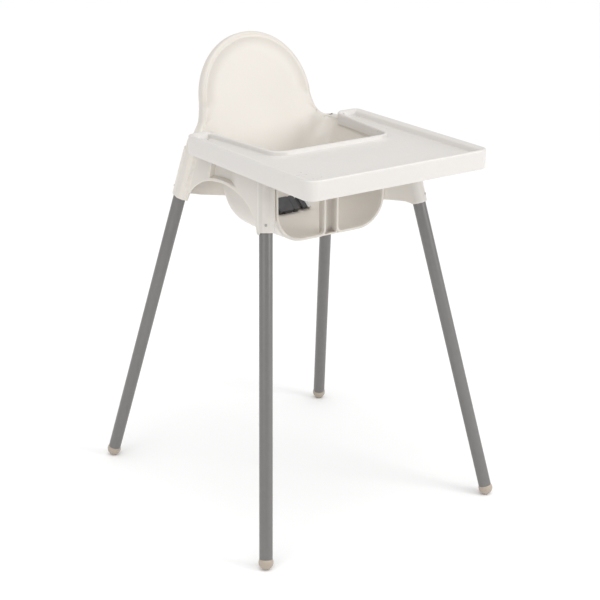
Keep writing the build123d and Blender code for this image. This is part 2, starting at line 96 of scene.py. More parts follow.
def evenly(points: np.ndarray, count: int) -> np.ndarray:
    """Resample a polyline so that its points are evenly spaced.

    Args:
        points: The polyline's points.
        count: How many points to return.

    Returns:
        An array of count points.
    """
    steps = np.linalg.norm(np.diff(points, axis=0), axis=1)
    length = np.concatenate([[0.0], np.cumsum(steps)])
    wanted = np.linspace(0.0, length[-1], count)
    return np.stack([np.interp(wanted, length, points[:, k]) for k in range(points.shape[1])], axis=1)


def guided(points: list[tuple[float, ...]], steps: int) -> np.ndarray:
    """Smooth curve with the same number of steps between each two of its points.

    Args:
        points: Points that the curve passes through.
        steps: Steps from one to the next.

    Returns:
        The curve's points.
    """
    p = np.array(points, float)
    ends = np.vstack([2 * p[0] - p[1], p, 2 * p[-1] - p[-2]])
    curve = []
    for i in range(len(p) - 1):
        a, b, c, d = ends[i : i + 4]
        t = np.linspace(0, 1, steps, endpoint=False)[:, None]
        curve.append(0.5 * (2 * b + (c - a) * t + (2 * a - 5 * b + 4 * c - d) * t**2
                            + (3 * b - a - 3 * c + d) * t**3))
    return np.vstack([*curve, p[-1:]])


def arc(centre: tuple[float, float], radius: float, start: float, end: float, count: int) -> list:
    """Points on an arc in a plane.

    Args:
        centre: The arc's centre.
        radius: Its radius.
        start: First angle in degrees.
        end: Last angle in degrees.
        count: How many points.

    Returns:
        A list of points.
    """
    angles = np.radians(np.linspace(start, end, count))
    return [(centre[0] + radius * math.cos(a), centre[1] + radius * math.sin(a)) for a in angles]


# ---------------------------------------------------------------------------
# Meshes
# ---------------------------------------------------------------------------
def add_object(name: str, data: bpy.types.ID) -> bpy.types.Object:
    """Put a new object into the scene.

    Args:
        name: The object's name.
        data: Its mesh, light or camera.

    Returns:
        The object.
    """
    piece = bpy.data.objects.new(name, data)
    bpy.context.scene.collection.objects.link(piece)
    return piece


class Draft:
    """Collects sheets of quads in millimetres and turns them into one object."""

    def __init__(self) -> None:
        """Start with nothing."""
        self.points: list[np.ndarray] = []
        self.faces: list[tuple[int, ...]] = []
        self.count = 0

    def sheet(self, grid: np.ndarray, flip: bool = False, loop: bool = False) -> "Draft":
        """Add a grid of points as quads.

        Args:
            grid: Rows of columns of points.
            flip: Turn the faces over.
            loop: Join the last column to the first.

        Returns:
            The draft itself.
        """
        rows, cols = grid.shape[:2]
        self.points.append(grid.reshape(-1, 3))
        span = cols if loop else cols - 1
        for i in range(rows - 1):
            for j in range(span):
                a = self.count + i * cols + j
                b = self.count + i * cols + (j + 1) % cols
                quad = (a, b, b + cols, a + cols)
                self.faces.append(quad[::-1] if flip else quad)
        self.count += rows * cols
        return self

    def cap(self, ring: np.ndarray, flip: bool = False) -> "Draft":
        """Add one flat face.

        Args:
            ring: The face's corners in order.
            flip: Turn the face over.

        Returns:
            The draft itself.
        """
        self.points.append(ring)
        corners = tuple(range(self.count, self.count + len(ring)))
        self.faces.append(corners[::-1] if flip else corners)
        self.count += len(ring)
        return self

    def build(self, name: str, mirror: bool = False) -> bpy.types.Object:
        """Make the object.

        Args:
            name: The object's name.
            mirror: Add the same shape on the other side of the chair.

        Returns:
            The new object, in metres.
        """
        points = np.vstack(self.points) * MM
        faces = list(self.faces)
        if mirror:
            faces += [tuple(len(points) + i for i in reversed(f)) for f in self.faces]
            points = np.vstack([points, points * [-1.0, 1.0, 1.0]])
        mesh = bpy.data.meshes.new(name)
        mesh.from_pydata(points.tolist(), [], faces)
        bm = bmesh.new()
        bm.from_mesh(mesh)
        bmesh.ops.remove_doubles(bm, verts=bm.verts, dist=MERGE)
        bmesh.ops.dissolve_degenerate(bm, edges=bm.edges, dist=MERGE)
        bm.to_mesh(mesh)
        bm.free()
        mesh.update()
        return add_object(name, mesh)


def settle(piece: bpy.types.Object) -> bpy.types.Object:
    """Turn a piece's modifiers into its plain mesh.

    Args:
        piece: The object, with its modifiers.

    Returns:
        The same object.
    """
    depsgraph = bpy.context.evaluated_depsgraph_get()
    mesh = bpy.data.meshes.new_from_object(piece.evaluated_get(depsgraph), depsgraph=depsgraph)
    piece.modifiers.clear()
    piece.data = mesh
    mesh.name = piece.name
    return piece


def thicken(piece: bpy.types.Object, wall: float, edge: float = 0.0, even: bool = False) -> bpy.types.Object:
    """Give a sheet its wall, behind the side that its faces look to, and soften its edges.

    Args:
        piece: The sheet.
        wall: Wall thickness in millimetres.
        edge: Width of the bevel on sharp edges in millimetres.
        even: Keep the wall even round corners.

    Returns:
        The same object, as a plain mesh.
    """
    solid = piece.modifiers.new("wall", "SOLIDIFY")
    solid.thickness = wall * MM
    solid.offset = -1.0
    solid.use_even_offset = even
    solid.use_quality_normals = True
    if edge > 0.0:
        bevel = piece.modifiers.new("edges", "BEVEL")
        bevel.width = edge * MM
        bevel.segments = 2
        bevel.limit_method = "ANGLE"
        bevel.angle_limit = SHARP_ANGLE
    return settle(piece)


def shade(piece: bpy.types.Object, angle: float = SHARP_ANGLE) -> None:
    """Shade a piece smooth except at its sharp edges.

    Args:
        piece: The object.
        angle: Edges sharper than this stay sharp, in radians.
    """
    piece.data.shade_smooth()
    piece.data.set_sharp_from_angle(angle=angle)


def face(piece: bpy.types.Object, target: tuple[float, float, float] | None = None) -> bpy.types.Object:
    """Turn a closed piece's faces outwards, or a sheet's towards a point.

    Args:
        piece: The piece.
        target: The point, in metres.

    Returns:
        The same piece.
    """
    bm = bmesh.new()
    bm.from_mesh(piece.data)
    bmesh.ops.recalc_face_normals(bm, faces=bm.faces)
    if target:
        point = Vector(target)
        score = sum(f.normal.dot(point - f.calc_center_median()) * f.calc_area() for f in bm.faces)
        if score < 0:
            bmesh.ops.reverse_faces(bm, faces=bm.faces)
    bm.to_mesh(piece.data)
    bm.free()
    return piece


def lathe(start: np.ndarray, axis: np.ndarray, profile: list[tuple[float, float]], count: int) -> np.ndarray:
    """Turn a profile about an axis.

    Args:
        start: The point that the profile's distances are measured from.
        axis: The axis's unit direction.
        profile: Radius and distance along the axis of each point.
        count: Steps round the axis.

    Returns:
        One row for each profile point.
    """
    side = np.cross(axis, (0.0, 1.0, 0.0))
    side /= np.linalg.norm(side)
    other = np.cross(axis, side)
    turns = np.linspace(0, 2 * math.pi, count, endpoint=False)
    return np.array([[start + axis * h + r * (math.cos(a) * side + math.sin(a) * other) for a in turns]
                     for r, h in profile])


def join(name: str, pieces: list[bpy.types.Object]) -> bpy.types.Object:
    """Join finished pieces into one object.

    Args:
        name: The joined object's name.
        pieces: Objects whose modifiers are already settled.

    Returns:
        The joined object.
    """
    bm = bmesh.new()
    for piece in pieces:
        bm.from_mesh(piece.data)
        bpy.data.objects.remove(piece)
    mesh = bpy.data.meshes.new(name)
    bm.to_mesh(mesh)
    bm.free()
    return add_object(name, mesh)


def dress(piece: bpy.types.Object, material: bpy.types.Material) -> None:
    """Put one material on a piece or on a carried-over node.

    Args:
        piece: The object.
        material: Its material.
    """
    if not piece.data.materials:
        piece.data.materials.append(material)
    for slot in piece.material_slots:
        slot.material = material


# ---------------------------------------------------------------------------
# Node trees
# ---------------------------------------------------------------------------
def feed(tree: bpy.types.NodeTree, node: bpy.types.Node, inputs: dict[str | int, object]) -> None:
    """Set or link a node's inputs.

    Args:
        tree: The node's tree.
        node: The node.
        inputs: For each input, its value or the output socket to link it to.
    """
    for key, value in inputs.items():
        if isinstance(value, bpy.types.NodeSocket):
            tree.links.new(value, node.inputs[key])
        else:
            node.inputs[key].default_value = value


def add_node(tree: bpy.types.NodeTree, kind: str, inputs: dict[str | int, object] | None = None,
             **settings: object) -> bpy.types.Node:
    """Add a node to a tree.

    Args:
        tree: The tree.
        kind: The node's type.
        inputs: For each input, its value or the output socket to link it to.
        settings: The node's own settings.

    Returns:
        The node.
    """
    node = tree.nodes.new(kind)
    for key, value in settings.items():
        setattr(node, key, value)
    feed(tree, node, inputs or {})
    return node


def set_inputs(modifier: bpy.types.Modifier, **values: object) -> None:
    """Set a Geometry Nodes modifier's inputs by their names.

    Args:
        modifier: The modifier, with its tree.
        values: The inputs, with underscores for spaces.
    """
    for item in modifier.node_group.interface.items_tree:
        key = item.name.replace(" ", "_")
        if item.in_out == "INPUT" and key in values:
            modifier[item.identifier] = values[key]


# ---------------------------------------------------------------------------
# Finishes
# ---------------------------------------------------------------------------
Colour = tuple[float, float, float]
WHITE = (1.0, 1.0, 1.0, 1.0)


def new_group(name: str, inputs: dict[str, float | tuple], outputs: tuple[str, ...]) -> tuple:
    """Make an empty shader group with named sockets.

    Args:
        name: The group's name.
        inputs: Each input's default; a tuple makes it a colour.
        outputs: The outputs' names; Colour is a colour and the rest are numbers.

    Returns:
        The group, and the sockets that give its inputs.
    """
    group = bpy.data.node_groups.new(name, "ShaderNodeTree")
    for label, default in inputs.items():
        kind = "NodeSocketColor" if isinstance(default, tuple) else "NodeSocketFloat"
        group.interface.new_socket(label, in_out="INPUT", socket_type=kind).default_value = default
    for label in outputs:
        kind = "NodeSocketColor" if label == "Colour" else "NodeSocketFloat"
        group.interface.new_socket(label, in_out="OUTPUT", socket_type=kind)
    return group, group.nodes.new("NodeGroupInput").outputs


def moulded_group() -> bpy.types.NodeTree:
    """Soft colour clouds, a fine grain and faint scuffs of a moulded or coated surface.

    Returns:
        The group, with outputs Colour, Gloss and Height.
    """
    group, given = new_group(
        "moulded_surface",
        {"Colour": WHITE, "Shade": WHITE, "Cloud Scale": 6.0, "Grain Scale": 900.0, "Scuff Scale": 60.0},
        ("Colour", "Gloss", "Height"),
    )
    place = add_node(group, "ShaderNodeTexCoord").outputs["Object"]
    noises = []
    for label, detail, twist in (("Cloud", 3.0, 0.0), ("Grain", 2.0, 0.0), ("Scuff", 6.0, 1.5)):
        noise = add_node(group, "ShaderNodeTexNoise", {
            "Vector": place, "Scale": given[f"{label} Scale"], "Detail": detail, "Distortion": twist})
        noises.append(noise.outputs["Fac"])
    cloud, grain, scuff = noises
    tint = add_node(group, "ShaderNodeMix", {"Factor": cloud, "A": given["Colour"], "B": given["Shade"]},
                    data_type="RGBA")
    scuffed = add_node(group, "ShaderNodeMath", {0: scuff, 1: 0.6, 2: cloud}, operation="MULTIPLY_ADD")
    add_node(group, "NodeGroupOutput", {
        "Colour": tint.outputs["Result"], "Gloss": scuffed.outputs[0], "Height": grain})
    return group


def wear_group() -> bpy.types.NodeTree:
    """Worn edges: a mask that is 1 on the sharpest outside edges, broken up by noise.

    Returns:
        The group, with output Mask.
    """
    group, given = new_group("edge_wear", {"Edge": 0.53, "Spread": 0.05, "Break Scale": 90.0}, ("Mask",))
    place = add_node(group, "ShaderNodeTexCoord").outputs["Object"]
    noise = add_node(group, "ShaderNodeTexNoise", {"Vector": place, "Scale": given["Break Scale"]})
    high = add_node(group, "ShaderNodeMath", {0: given["Edge"], 1: given["Spread"]}, operation="ADD")
    edges = add_node(group, "ShaderNodeNewGeometry").outputs["Pointiness"]
    span = add_node(group, "ShaderNodeMapRange", {
        "Value": edges, "From Min": given["Edge"], "From Max": high.outputs[0]})
    mask = add_node(group, "ShaderNodeMath", {0: span.outputs["Result"], 1: noise.outputs["Fac"]},
                    operation="MULTIPLY")
    add_node(group, "NodeGroupOutput", {"Mask": mask.outputs[0]})
    return group


def weave_group() -> bpy.types.NodeTree:
    """Woven ribs across and along a strap, from its UV map in metres.

    Returns:
        The group, with outputs Mask and Height.
    """
    group, given = new_group(
        "webbing_weave", {"Rib Pitch": 0.0016, "Yarn Pitch": 0.0009}, ("Mask", "Height"))
    place = add_node(group, "ShaderNodeUVMap").outputs["UV"]
    split = add_node(group, "ShaderNodeSeparateXYZ", {"Vector": place})
    waves = []
    for axis, label in (("X", "Rib Pitch"), ("Y", "Yarn Pitch")):
        share = add_node(group, "ShaderNodeMath", {0: split.outputs[axis], 1: given[label]},
                         operation="DIVIDE")
        turn = add_node(group, "ShaderNodeMath", {0: share.outputs[0], 1: 2 * math.pi},
                        operation="MULTIPLY")
        wave = add_node(group, "ShaderNodeMath", {0: turn.outputs[0]}, operation="SINE")
        waves.append(wave.outputs[0])
    both = add_node(group, "ShaderNodeMath", {0: waves[0], 1: 0.5, 2: waves[1]},
                    operation="MULTIPLY_ADD")
    mask = add_node(group, "ShaderNodeMapRange", {
        "Value": both.outputs[0], "From Min": -1.5, "From Max": 1.5})
    add_node(group, "NodeGroupOutput", {"Mask": mask.outputs["Result"], "Height": both.outputs[0]})
    return group


@dataclass(frozen=True)
class Finish:
    """A surface finish: its colours, gloss, grain and edge wear."""

    name: str
    colour: Colour
    shade: Colour
    roughness: float
    rough_span: float = 0.08
    metallic: float = 0.0
    specular: float = 0.5
    cloud_scale: float = 6.0
    grain_scale: float = 900.0
    grain_height: float = 0.00002
    wear_colour: Colour | None = None
    wear: float = 0.5
    bleed: float = 0.0
    bleed_radius: Colour = (0.004, 0.003, 0.002)
    weave: bool = False
    weave_depth: float = 0.7
    sheen: float = 0.0

    def material(self, groups: dict[str, bpy.types.NodeTree]) -> bpy.types.Material:
        """Build the finish as a material.

        Args:
            groups: The shared shader groups by name.

        Returns:
            The material.
        """
        material = bpy.data.materials.new(self.name)
        material.use_nodes = True
        tree = material.node_tree
        surface = add_node(tree, "ShaderNodeGroup", {
            "Colour": (*self.colour, 1), "Shade": (*self.shade, 1),
            "Cloud Scale": self.cloud_scale, "Grain Scale": self.grain_scale}, node_tree=groups["moulded"])
        colour, height = surface.outputs["Colour"], surface.outputs["Height"]
        if self.weave:
            weave = add_node(tree, "ShaderNodeGroup", node_tree=groups["weave"])
            dark = add_node(
                tree, "ShaderNodeMix", {"Factor": self.weave_depth, "A": colour, "B": weave.outputs["Mask"]},
                data_type="RGBA", blend_type="MULTIPLY")
            colour, height = dark.outputs["Result"], weave.outputs["Height"]
        if self.wear_colour:
            wear = add_node(tree, "ShaderNodeGroup", node_tree=groups["wear"])
            amount = add_node(tree, "ShaderNodeMath", {0: wear.outputs["Mask"], 1: self.wear},
                              operation="MULTIPLY")
            worn = add_node(tree, "ShaderNodeMix", {
                "Factor": amount.outputs[0], "A": colour, "B": (*self.wear_colour, 1)}, data_type="RGBA")
            colour = worn.outputs["Result"]
        gloss = add_node(tree, "ShaderNodeMapRange", {
            "Value": surface.outputs["Gloss"], "From Min": 0.4, "From Max": 1.2,
            "To Min": self.roughness - self.rough_span / 2,
            "To Max": self.roughness + self.rough_span / 2})
        bump = add_node(tree, "ShaderNodeBump", {"Height": height, "Distance": self.grain_height})
        feed(tree, tree.nodes["Principled BSDF"], {
            "Base Color": colour, "Roughness": gloss.outputs["Result"], "Normal": bump.outputs["Normal"],
            "Metallic": self.metallic, "Specular IOR Level": self.specular, "Sheen Weight": self.sheen,
            "Subsurface Weight": self.bleed, "Subsurface Radius": self.bleed_radius,
            "Subsurface Scale": 1.0})
        return material


SHELL_PLASTIC = Finish("shell_plastic", (0.675, 0.64, 0.59), (0.65, 0.615, 0.565), 0.34, bleed=0.12,
                       wear_colour=(0.84, 0.79, 0.72))
TRAY_PLASTIC = Finish("tray_plastic", (0.665, 0.643, 0.617), (0.645, 0.623, 0.597), 0.30, bleed=0.12,
                      wear_colour=(0.88, 0.87, 0.85))
LEG_PAINT = Finish("leg_paint", (0.178, 0.172, 0.165), (0.162, 0.157, 0.151), 0.34, metallic=0.35,
                   grain_scale=1600.0, grain_height=0.00002, wear_colour=(0.30, 0.30, 0.30), wear=0.15)
FOOT_PLASTIC = Finish("foot_plastic", (0.41, 0.35, 0.29), (0.385, 0.33, 0.27), 0.38, bleed=0.1,
                      cloud_scale=40.0, wear_colour=(0.55, 0.47, 0.38), wear=0.3)
BUTTON_STEEL = Finish("button_steel", (0.42, 0.42, 0.41), (0.36, 0.36, 0.35), 0.3, metallic=0.9,
                      cloud_scale=120.0, wear_colour=(0.7, 0.7, 0.69))
WEBBING = Finish("webbing", (0.022, 0.022, 0.024), (0.032, 0.031, 0.032), 0.75, weave=True,
                 grain_height=0.0002, sheen=0.25)
LABEL_CLOTH = Finish("label_cloth", (0.88, 0.88, 0.86), (0.83, 0.83, 0.81), 0.6, weave=True,
                     grain_height=0.00003)
BUCKLE_PLASTIC = Finish("buckle_plastic", (0.02, 0.02, 0.022), (0.028, 0.028, 0.03), 0.42,
                        grain_height=0.00006, wear_colour=(0.08, 0.08, 0.085), wear=0.6)
THREAD = Finish("stitch_thread", (0.05, 0.05, 0.055), (0.035, 0.035, 0.04), 0.6, sheen=0.3)
FLOOR_PAPER = Finish("floor_paper", (0.95, 0.95, 0.95), (0.94, 0.94, 0.94), 0.75, specular=0.2)


class Palette:
    """Every material, made once from its finish."""

    def __init__(self) -> None:
        """Build the shared groups and the materials."""
        groups = {"moulded": moulded_group(), "wear": wear_group(), "weave": weave_group()}
        finishes = (SHELL_PLASTIC, TRAY_PLASTIC, LEG_PAINT, FOOT_PLASTIC, BUTTON_STEEL, WEBBING,
                    LABEL_CLOTH, BUCKLE_PLASTIC, THREAD, FLOOR_PAPER)
        self.materials = {finish.name: finish.material(groups) for finish in finishes}

    def __getitem__(self, finish: Finish) -> bpy.types.Material:
        """The material of a finish.

        Args:
            finish: The finish.

        Returns:
            Its material.
        """
        return self.materials[finish.name]


# ---------------------------------------------------------------------------
# Outlines with rounded corners
# ---------------------------------------------------------------------------
def rounded_loop(corners: list[tuple[float, float, float]], step: float, inset: float = 0.0) -> tuple:
    """Closed outline with rounded corners, anticlockwise.

    Args:
        corners: X, Y and radius of each corner.
        step: Rough distance between points on straight runs.
        inset: The furthest that a section reaches inwards from the outline.

    Returns:
        The points, the unit normals that point inwards, and for each point the radius that its
        normal can be followed for and the direction to take beyond it.
    """
    points, normals, spare = [], [], []
    endless = (1e9, np.zeros(2))
    count = len(corners)
    for i, (x, y, radius) in enumerate(corners):
        here = np.array([x, y])
        before = np.array(corners[i - 1][:2]) - here
        after = np.array(corners[(i + 1) % count][:2]) - here
        before /= np.linalg.norm(before)
        reach_after = np.linalg.norm(after)
        after /= reach_after
        half = math.acos(np.clip(before @ after, -1, 1)) / 2
        cut = radius / math.tan(half)
        start, end = here + before * cut, here + after * cut
        turn = np.cross(-before, after)
        inward = np.array([before[1], -before[0]])
        centre = start + inward * radius * np.sign(turn)
        steps = max(6, int(abs(math.pi - 2 * half) * radius / 2.2))
        sweep = (math.pi - 2 * half) * np.sign(turn)
        arm = start - centre
        past_start, past_end = -(start - centre) / radius, -(end - centre) / radius
        mitre = (past_start + past_end) / (1 + past_start @ past_end)
        for k in range(steps + 1):
            angle = sweep * k / steps
            c, s = math.cos(angle), math.sin(angle)
            spoke = np.array([arm[0] * c - arm[1] * s, arm[0] * s + arm[1] * c])
            points.append(centre + spoke)
            normals.append(-spoke / radius * np.sign(turn))
            spare.append((radius, mitre) if turn > 0 else endless)
        nx, ny, nr = corners[(i + 1) % count]
        following = np.array(corners[(i + 2) % count][:2]) - np.array([nx, ny])
        following /= np.linalg.norm(following)
        next_half = math.acos(np.clip(-after @ following, -1, 1)) / 2
        run = reach_after - cut - nr / math.tan(next_half)
        first = max(0.0, inset - radius) + 1.0 if turn > 0 else 1.0
        last = run - (max(0.0, inset - nr) + 1.0)
        pieces = max(1, int((last - first) / step))
        left = np.array([-after[1], after[0]])
        for k in range(pieces + 1):
            points.append(end + after * (first + (last - first) * k / pieces))
            normals.append(left)
            spare.append(endless)
    return np.array(points), np.array(normals), spare


# ---------------------------------------------------------------------------
# Tray
# ---------------------------------------------------------------------------
@dataclass
class Tray:
    """The moulded tray: rim, skirt and the lip round the child's opening."""

    half_width: float = 201.0
    front_y: float = -323.5
    rear_y: float = 86.0
    top: float = 737.6
    floor: float = 725.6
    wall: float = 2.8
    skirt: float = 36.0
    front_corner: float = 20.0
    rear_corner: float = 14.0
    cut_front_y: float = -114.0
    cut_front_half: float = 128.0
    cut_rear_half: float = 147.1
    cut_corner: float = 25.0
    tip_corner: float = 14.0
    lip_drop: float = 2.6
    lip_skirt: float = 20.0
    bead: float = 3.3
    roll: float = 3.0
    well: float = 24.0
    deck_half: float = 179.0
    softening: float = 0.7
    straight_step: float = 6.0

    def outer_profile(self, bottom: float) -> list[tuple[float, float]]:
        """Section of the raised rim, as distance in from the edge and height.

        Args:
            bottom: Height of the skirt's lower edge.

        Returns:
            The section's points.
        """
        top, floor, roll = self.top, self.floor, self.roll
        section = [(0.0, bottom), (0.0, (bottom + top) / 2)]
        section += arc((roll, top - roll), roll, 180, 90, 6)
        section += [(6.0, top - 0.3), (12.2, top - 2.9), (13.2, top - 3.7), (13.9, top - 5.0)]
        section += [(15.1, floor + 1.2), (15.9, floor + 0.1), (17.0, floor - 0.4), (21.5, floor - 0.5)]
        return section + [(23.0, floor - 0.2), (self.well, floor)]

    def lip_profile(self, bottom: float) -> list[tuple[float, float]]:
        """Section of the round lip, with as many points as the rim's.

        Args:
            bottom: Height of the lip's lower edge.

        Returns:
            The section's points.
        """
        top, floor, bead = self.top - self.lip_drop, self.floor, self.bead
        section = [(0.0, bottom), (0.0, (bottom + top) / 2)]
        section += arc((bead, top - bead), bead, 180, 90, 6)
        section += arc((bead, top - bead), bead, 68, 8, 4)
        section += [(2 * bead + 0.3, floor + 2.2), (2 * bead + 1.0, floor + 0.7), (2 * bead + 2.2, floor)]
        return section + [(16.0, floor), (20.0, floor), (self.well, floor)]

    def build(self) -> bpy.types.Object:
        """Sweep the section round the plan and close the floor.

        Returns:
            The tray as one mesh.
        """
        half, cut_f, cut_r = self.half_width, self.cut_front_half, self.cut_rear_half
        plan = [
            (-half, self.front_y, self.front_corner), (half, self.front_y, self.front_corner),
            (half, self.rear_y, self.rear_corner), (cut_r, self.rear_y, self.tip_corner),
            (cut_f, self.cut_front_y, self.cut_corner), (-cut_f, self.cut_front_y, self.cut_corner),
            (-cut_r, self.rear_y, self.tip_corner), (-half, self.rear_y, self.rear_corner),
        ]
        points, normals, spare = rounded_loop(plan, self.straight_step, self.well)
        low, deck = self.top - self.skirt, self.floor - self.wall - 0.4
        lip_low = self.top - self.lip_drop - self.lip_skirt
        columns = []
        for (x, y), normal, (radius, mitre) in zip(points, normals, spare):
            x_in = abs(x)
            inner = smooth((cut_r + 14.0 - x_in) / 22.0) if y > self.cut_front_y - 1 else 0.0
            notch = smooth((self.deck_half + 6.0 - x_in) / 5.0) if y > self.rear_y - 4 else 0.0
            raised = smooth((self.rear_y - 3.0 - y) / 9.0)
            outer_low = low + (deck - low) * notch
            inner_low = deck + (lip_low - deck) * raised
            outer = np.array(self.outer_profile(outer_low))
            lip = np.array(self.lip_profile(inner_low))
            section = outer + (lip - outer) * inner
            near = np.minimum(section[:, 0], radius)[:, None]
            beyond = np.maximum(section[:, 0] - radius, 0.0)[:, None]
            plan_points = np.array([x, y]) + near * normal + beyond * mitre
            columns.append(np.column_stack([plan_points, section[:, 1]]))
        grid = np.array(columns).transpose(1, 0, 2)
        tray = Draft().sheet(grid, loop=True).cap(grid[-1]).build("tray_moulding")
        shade(thicken(tray, self.wall, edge=self.softening))
        return tray

    def dress(self, tray: bpy.types.Object, palette: Palette) -> None:
        """Give the tray its finish and body.

        Args:
            tray: The tray.
            palette: The materials.
        """
        dress(tray, palette[TRAY_PLASTIC])
        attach(tray, "tray")
        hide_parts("tray")


# ---------------------------------------------------------------------------
# Seat shell
# ---------------------------------------------------------------------------
@dataclass
class Backrest:
    """The sloping face behind the child and the round crown above it."""

    face_y: float = 144.3
    face_z: float = 770.0
    slope: float = 0.30
    half_width: float = 119.0
    crown_rise: float = 122.2
    ridge: float = 4.6
    ridge_width: float = 30.0
    edge_radius: float = 8.0
    flange: float = 10.0
    shoulder_swell: float = 7.0

    def y_at(self, z: float) -> float:
        """Y of the backrest's face at a height.

        Args:
            z: The height.

        Returns:
            The face's Y.
        """
        return self.face_y + self.slope * (z - self.face_z)

    def up(self) -> np.ndarray:
        """Direction up the sloping face.

        Returns:
            A unit vector.
        """
        direction = np.array([0.0, self.slope, 1.0])
        return direction / np.linalg.norm(direction)


@dataclass
class Bucket:
    """The bowl that the child sits in, one sheet from its front edge to the top of the backrest."""

    back: Backrest = field(default_factory=Backrest)
    wall: float = 3.0
    deck: float = 722.3
    front_y: float = -104.0
    low_half: float = 122.0
    straight_z: float = 600.0
    corner: float = 57.0
    rim_roll: float = 2.5
    strip: float = 8.0
    opening_front_half: float = 128.0
    opening_taper: float = 0.0955
    arm_offset: float = 6.8
    columns: int = 44
    rows_per_guide: int = 6
    crown_rows: int = 26
    heel: tuple[float, float, float] = (42.1, 600.0, 49.0)
    softening: float = 0.8

    def arm_x(self, y: float) -> float:
        """Half the width between the arm rests at a distance along the chair.

        Args:
            y: The distance.

        Returns:
            Half the width.
        """
        return self.opening_front_half + self.opening_taper * (y + 114.0) + self.arm_offset

    def guides(self) -> tuple[list, list]:
        """Rim points, and the points on the middle of the seat that each section starts from.

        Returns:
            The rim's points and the middle line's points, front to back.
        """
        rim_z = self.deck - self.rim_roll
        heel_y, heel_z, heel_r = self.heel
        flat = [(y, rim_z) for y in (self.front_y, -55.0, 0.0, 32.0, 52.0, 66.0, 78.0, 88.0)]
        rim = [(self.arm_x(y), y, z) for y, z in flat]
        rim += [(152.0, 99.0, 719.9), (150.5, 111.0, 720.0), (145.5, 121.0, 721.8)]
        rim += [(136.3, 128.2, 727.5), (126.0, 133.8, 742.5), (self.back.half_width, 141.7, 770.0)]
        middle = [(0.0, self.front_y, 556.0), (0.0, -40.0, 553.0), (0.0, 20.0, 550.7)]
        for angle in (-72.0, -40.0):
            turn = math.radians(angle)
            middle.append((0.0, heel_y + heel_r * math.cos(turn), heel_z + heel_r * math.sin(turn)))
        for z in (612.0, 648.0, 676.0, 698.0, 718.0, 733.0, 746.0, 758.0, 770.0):
            middle.append((0.0, self.back.y_at(z), z))
        return rim, middle

    def section(self, low: np.ndarray, high: np.ndarray) -> np.ndarray:
        """One row from the middle of the seat out to the rim.

        Args:
            low: The row's point on the middle of the seat.
            high: The row's point on the rim.

        Returns:
            Evenly spaced points.
        """
        rise = high - low
        rise[0] = 0.0
        height = np.linalg.norm(rise)
        rise /= max(height, 1e-6)
        corner_high = min(self.corner, height)
        share = min(1.0, height / 30.0)

        def wall_x(v: np.ndarray) -> np.ndarray:
            """Half the bowl's width at distances up the row.

            Args:
                v: The distances.

            Returns:
                The half widths.
            """
            z = low[2] + v * rise[2]
            climb = (z - self.straight_z) / max(high[2] - self.straight_z, 1.0)
            return self.low_half + (high[0] - self.low_half) * np.clip(climb, 0.0, 1.0) ** 1.5

        s = np.linspace(0.0, 1.0, 60)
        across = (1 - share) * s + share * np.sin(s * math.pi / 2)
        along = (1 - share) * (1 - s * s) + share * np.cos(s * math.pi / 2)
        corner_v = corner_high * (1 - along)
        corner_x = wall_x(corner_v) - self.corner * (1 - across)
        floor_x = np.linspace(0.0, corner_x[0], 40, endpoint=False)
        wall_v = np.linspace(corner_high, height, 40)[1:]
        x = np.concatenate([floor_x, corner_x, wall_x(wall_v)])
        v = np.concatenate([np.zeros(40), corner_v, wall_v])
        row = low[None, :] + v[:, None] * rise[None, :]
        row[:, 0] = x
        row[-1] = high
        return evenly(row, self.columns)

    def crown_row(self, angle: float) -> tuple[np.ndarray, np.ndarray]:
        """One level row of the round crown.

        Args:
            angle: How far up the crown's arc, in radians.

        Returns:
            The row's points and the rim point at its end.
        """
        back = self.back
        z = back.face_z + back.crown_rise * math.sin(angle)
        x = np.linspace(0.0, back.half_width * math.cos(angle), self.columns)
        reach = np.sqrt(x * x + (z - back.face_z) ** 2)
        near_edge = (reach - back.half_width + back.ridge_width) / back.ridge_width
        lift = back.ridge * np.clip(near_edge, 0, 1) ** 2
        row = np.stack([x, back.y_at(z) - lift, np.full_like(x, z)], axis=1)
        return row, row[-1]

    def rows(self) -> np.ndarray:
        """Every row of the sheet, with the rolled rim and the strip or flange beyond it.

        Returns:
            Rows of columns of points on the right half of the seat.
        """
        rim_guides, middle_guides = self.guides()
        rim, middle = (guided(points, self.rows_per_guide) for points in (rim_guides, middle_guides))
        rows = [self.section(low, high.copy()) for low, high in zip(middle, rim)]
        angles = np.linspace(0.0, math.pi / 2, self.crown_rows + 1)[1:]
        ends = list(rim)
        for angle in angles:
            row, end = self.crown_row(angle)
            rows.append(row)
            ends.append(end)
        ends = np.array(ends)
        tangent = np.gradient(ends, axis=0)
        tangent[-1] = (-1.0, 0.0, 0.0)
        tangent /= np.linalg.norm(tangent, axis=1)[:, None]
        turn_start = 8 * self.rows_per_guide
        turn_end = len(rim) - 1
        full = []
        for i, row in enumerate(rows):
            share = float(smooth((i - turn_start) / (turn_end - turn_start)))
            angle = angles[i - len(rim)] if i >= len(rim) else 0.0
            radial = math.cos(angle) * np.array([1.0, 0.0, 0.0]) + math.sin(angle) * self.back.up()
            out = (1 - share) * np.array([0.0, 0.0, 1.0]) + share * radial
            out -= tangent[i] * (tangent[i] @ out)
            out /= np.linalg.norm(out)
            behind = np.cross(tangent[i], out)
            radius = self.rim_roll + (self.back.edge_radius - self.rim_roll) * share
            length = self.strip + (self.back.flange - self.strip) * share
            length += self.back.shoulder_swell * 4 * share * (1 - share)
            turns = np.linspace(0, math.pi / 2, 9)[1:]
            roll = [row[-1] + radius * (out * math.sin(a) + behind * (1 - math.cos(a))) for a in turns]
            flange = [roll[-1] + behind * length * k / 5 for k in range(1, 6)]
            full.append(np.vstack([row, roll, flange]))
        grid = np.array(full)
        grid[-1, :, 0] = 0.0
        return grid

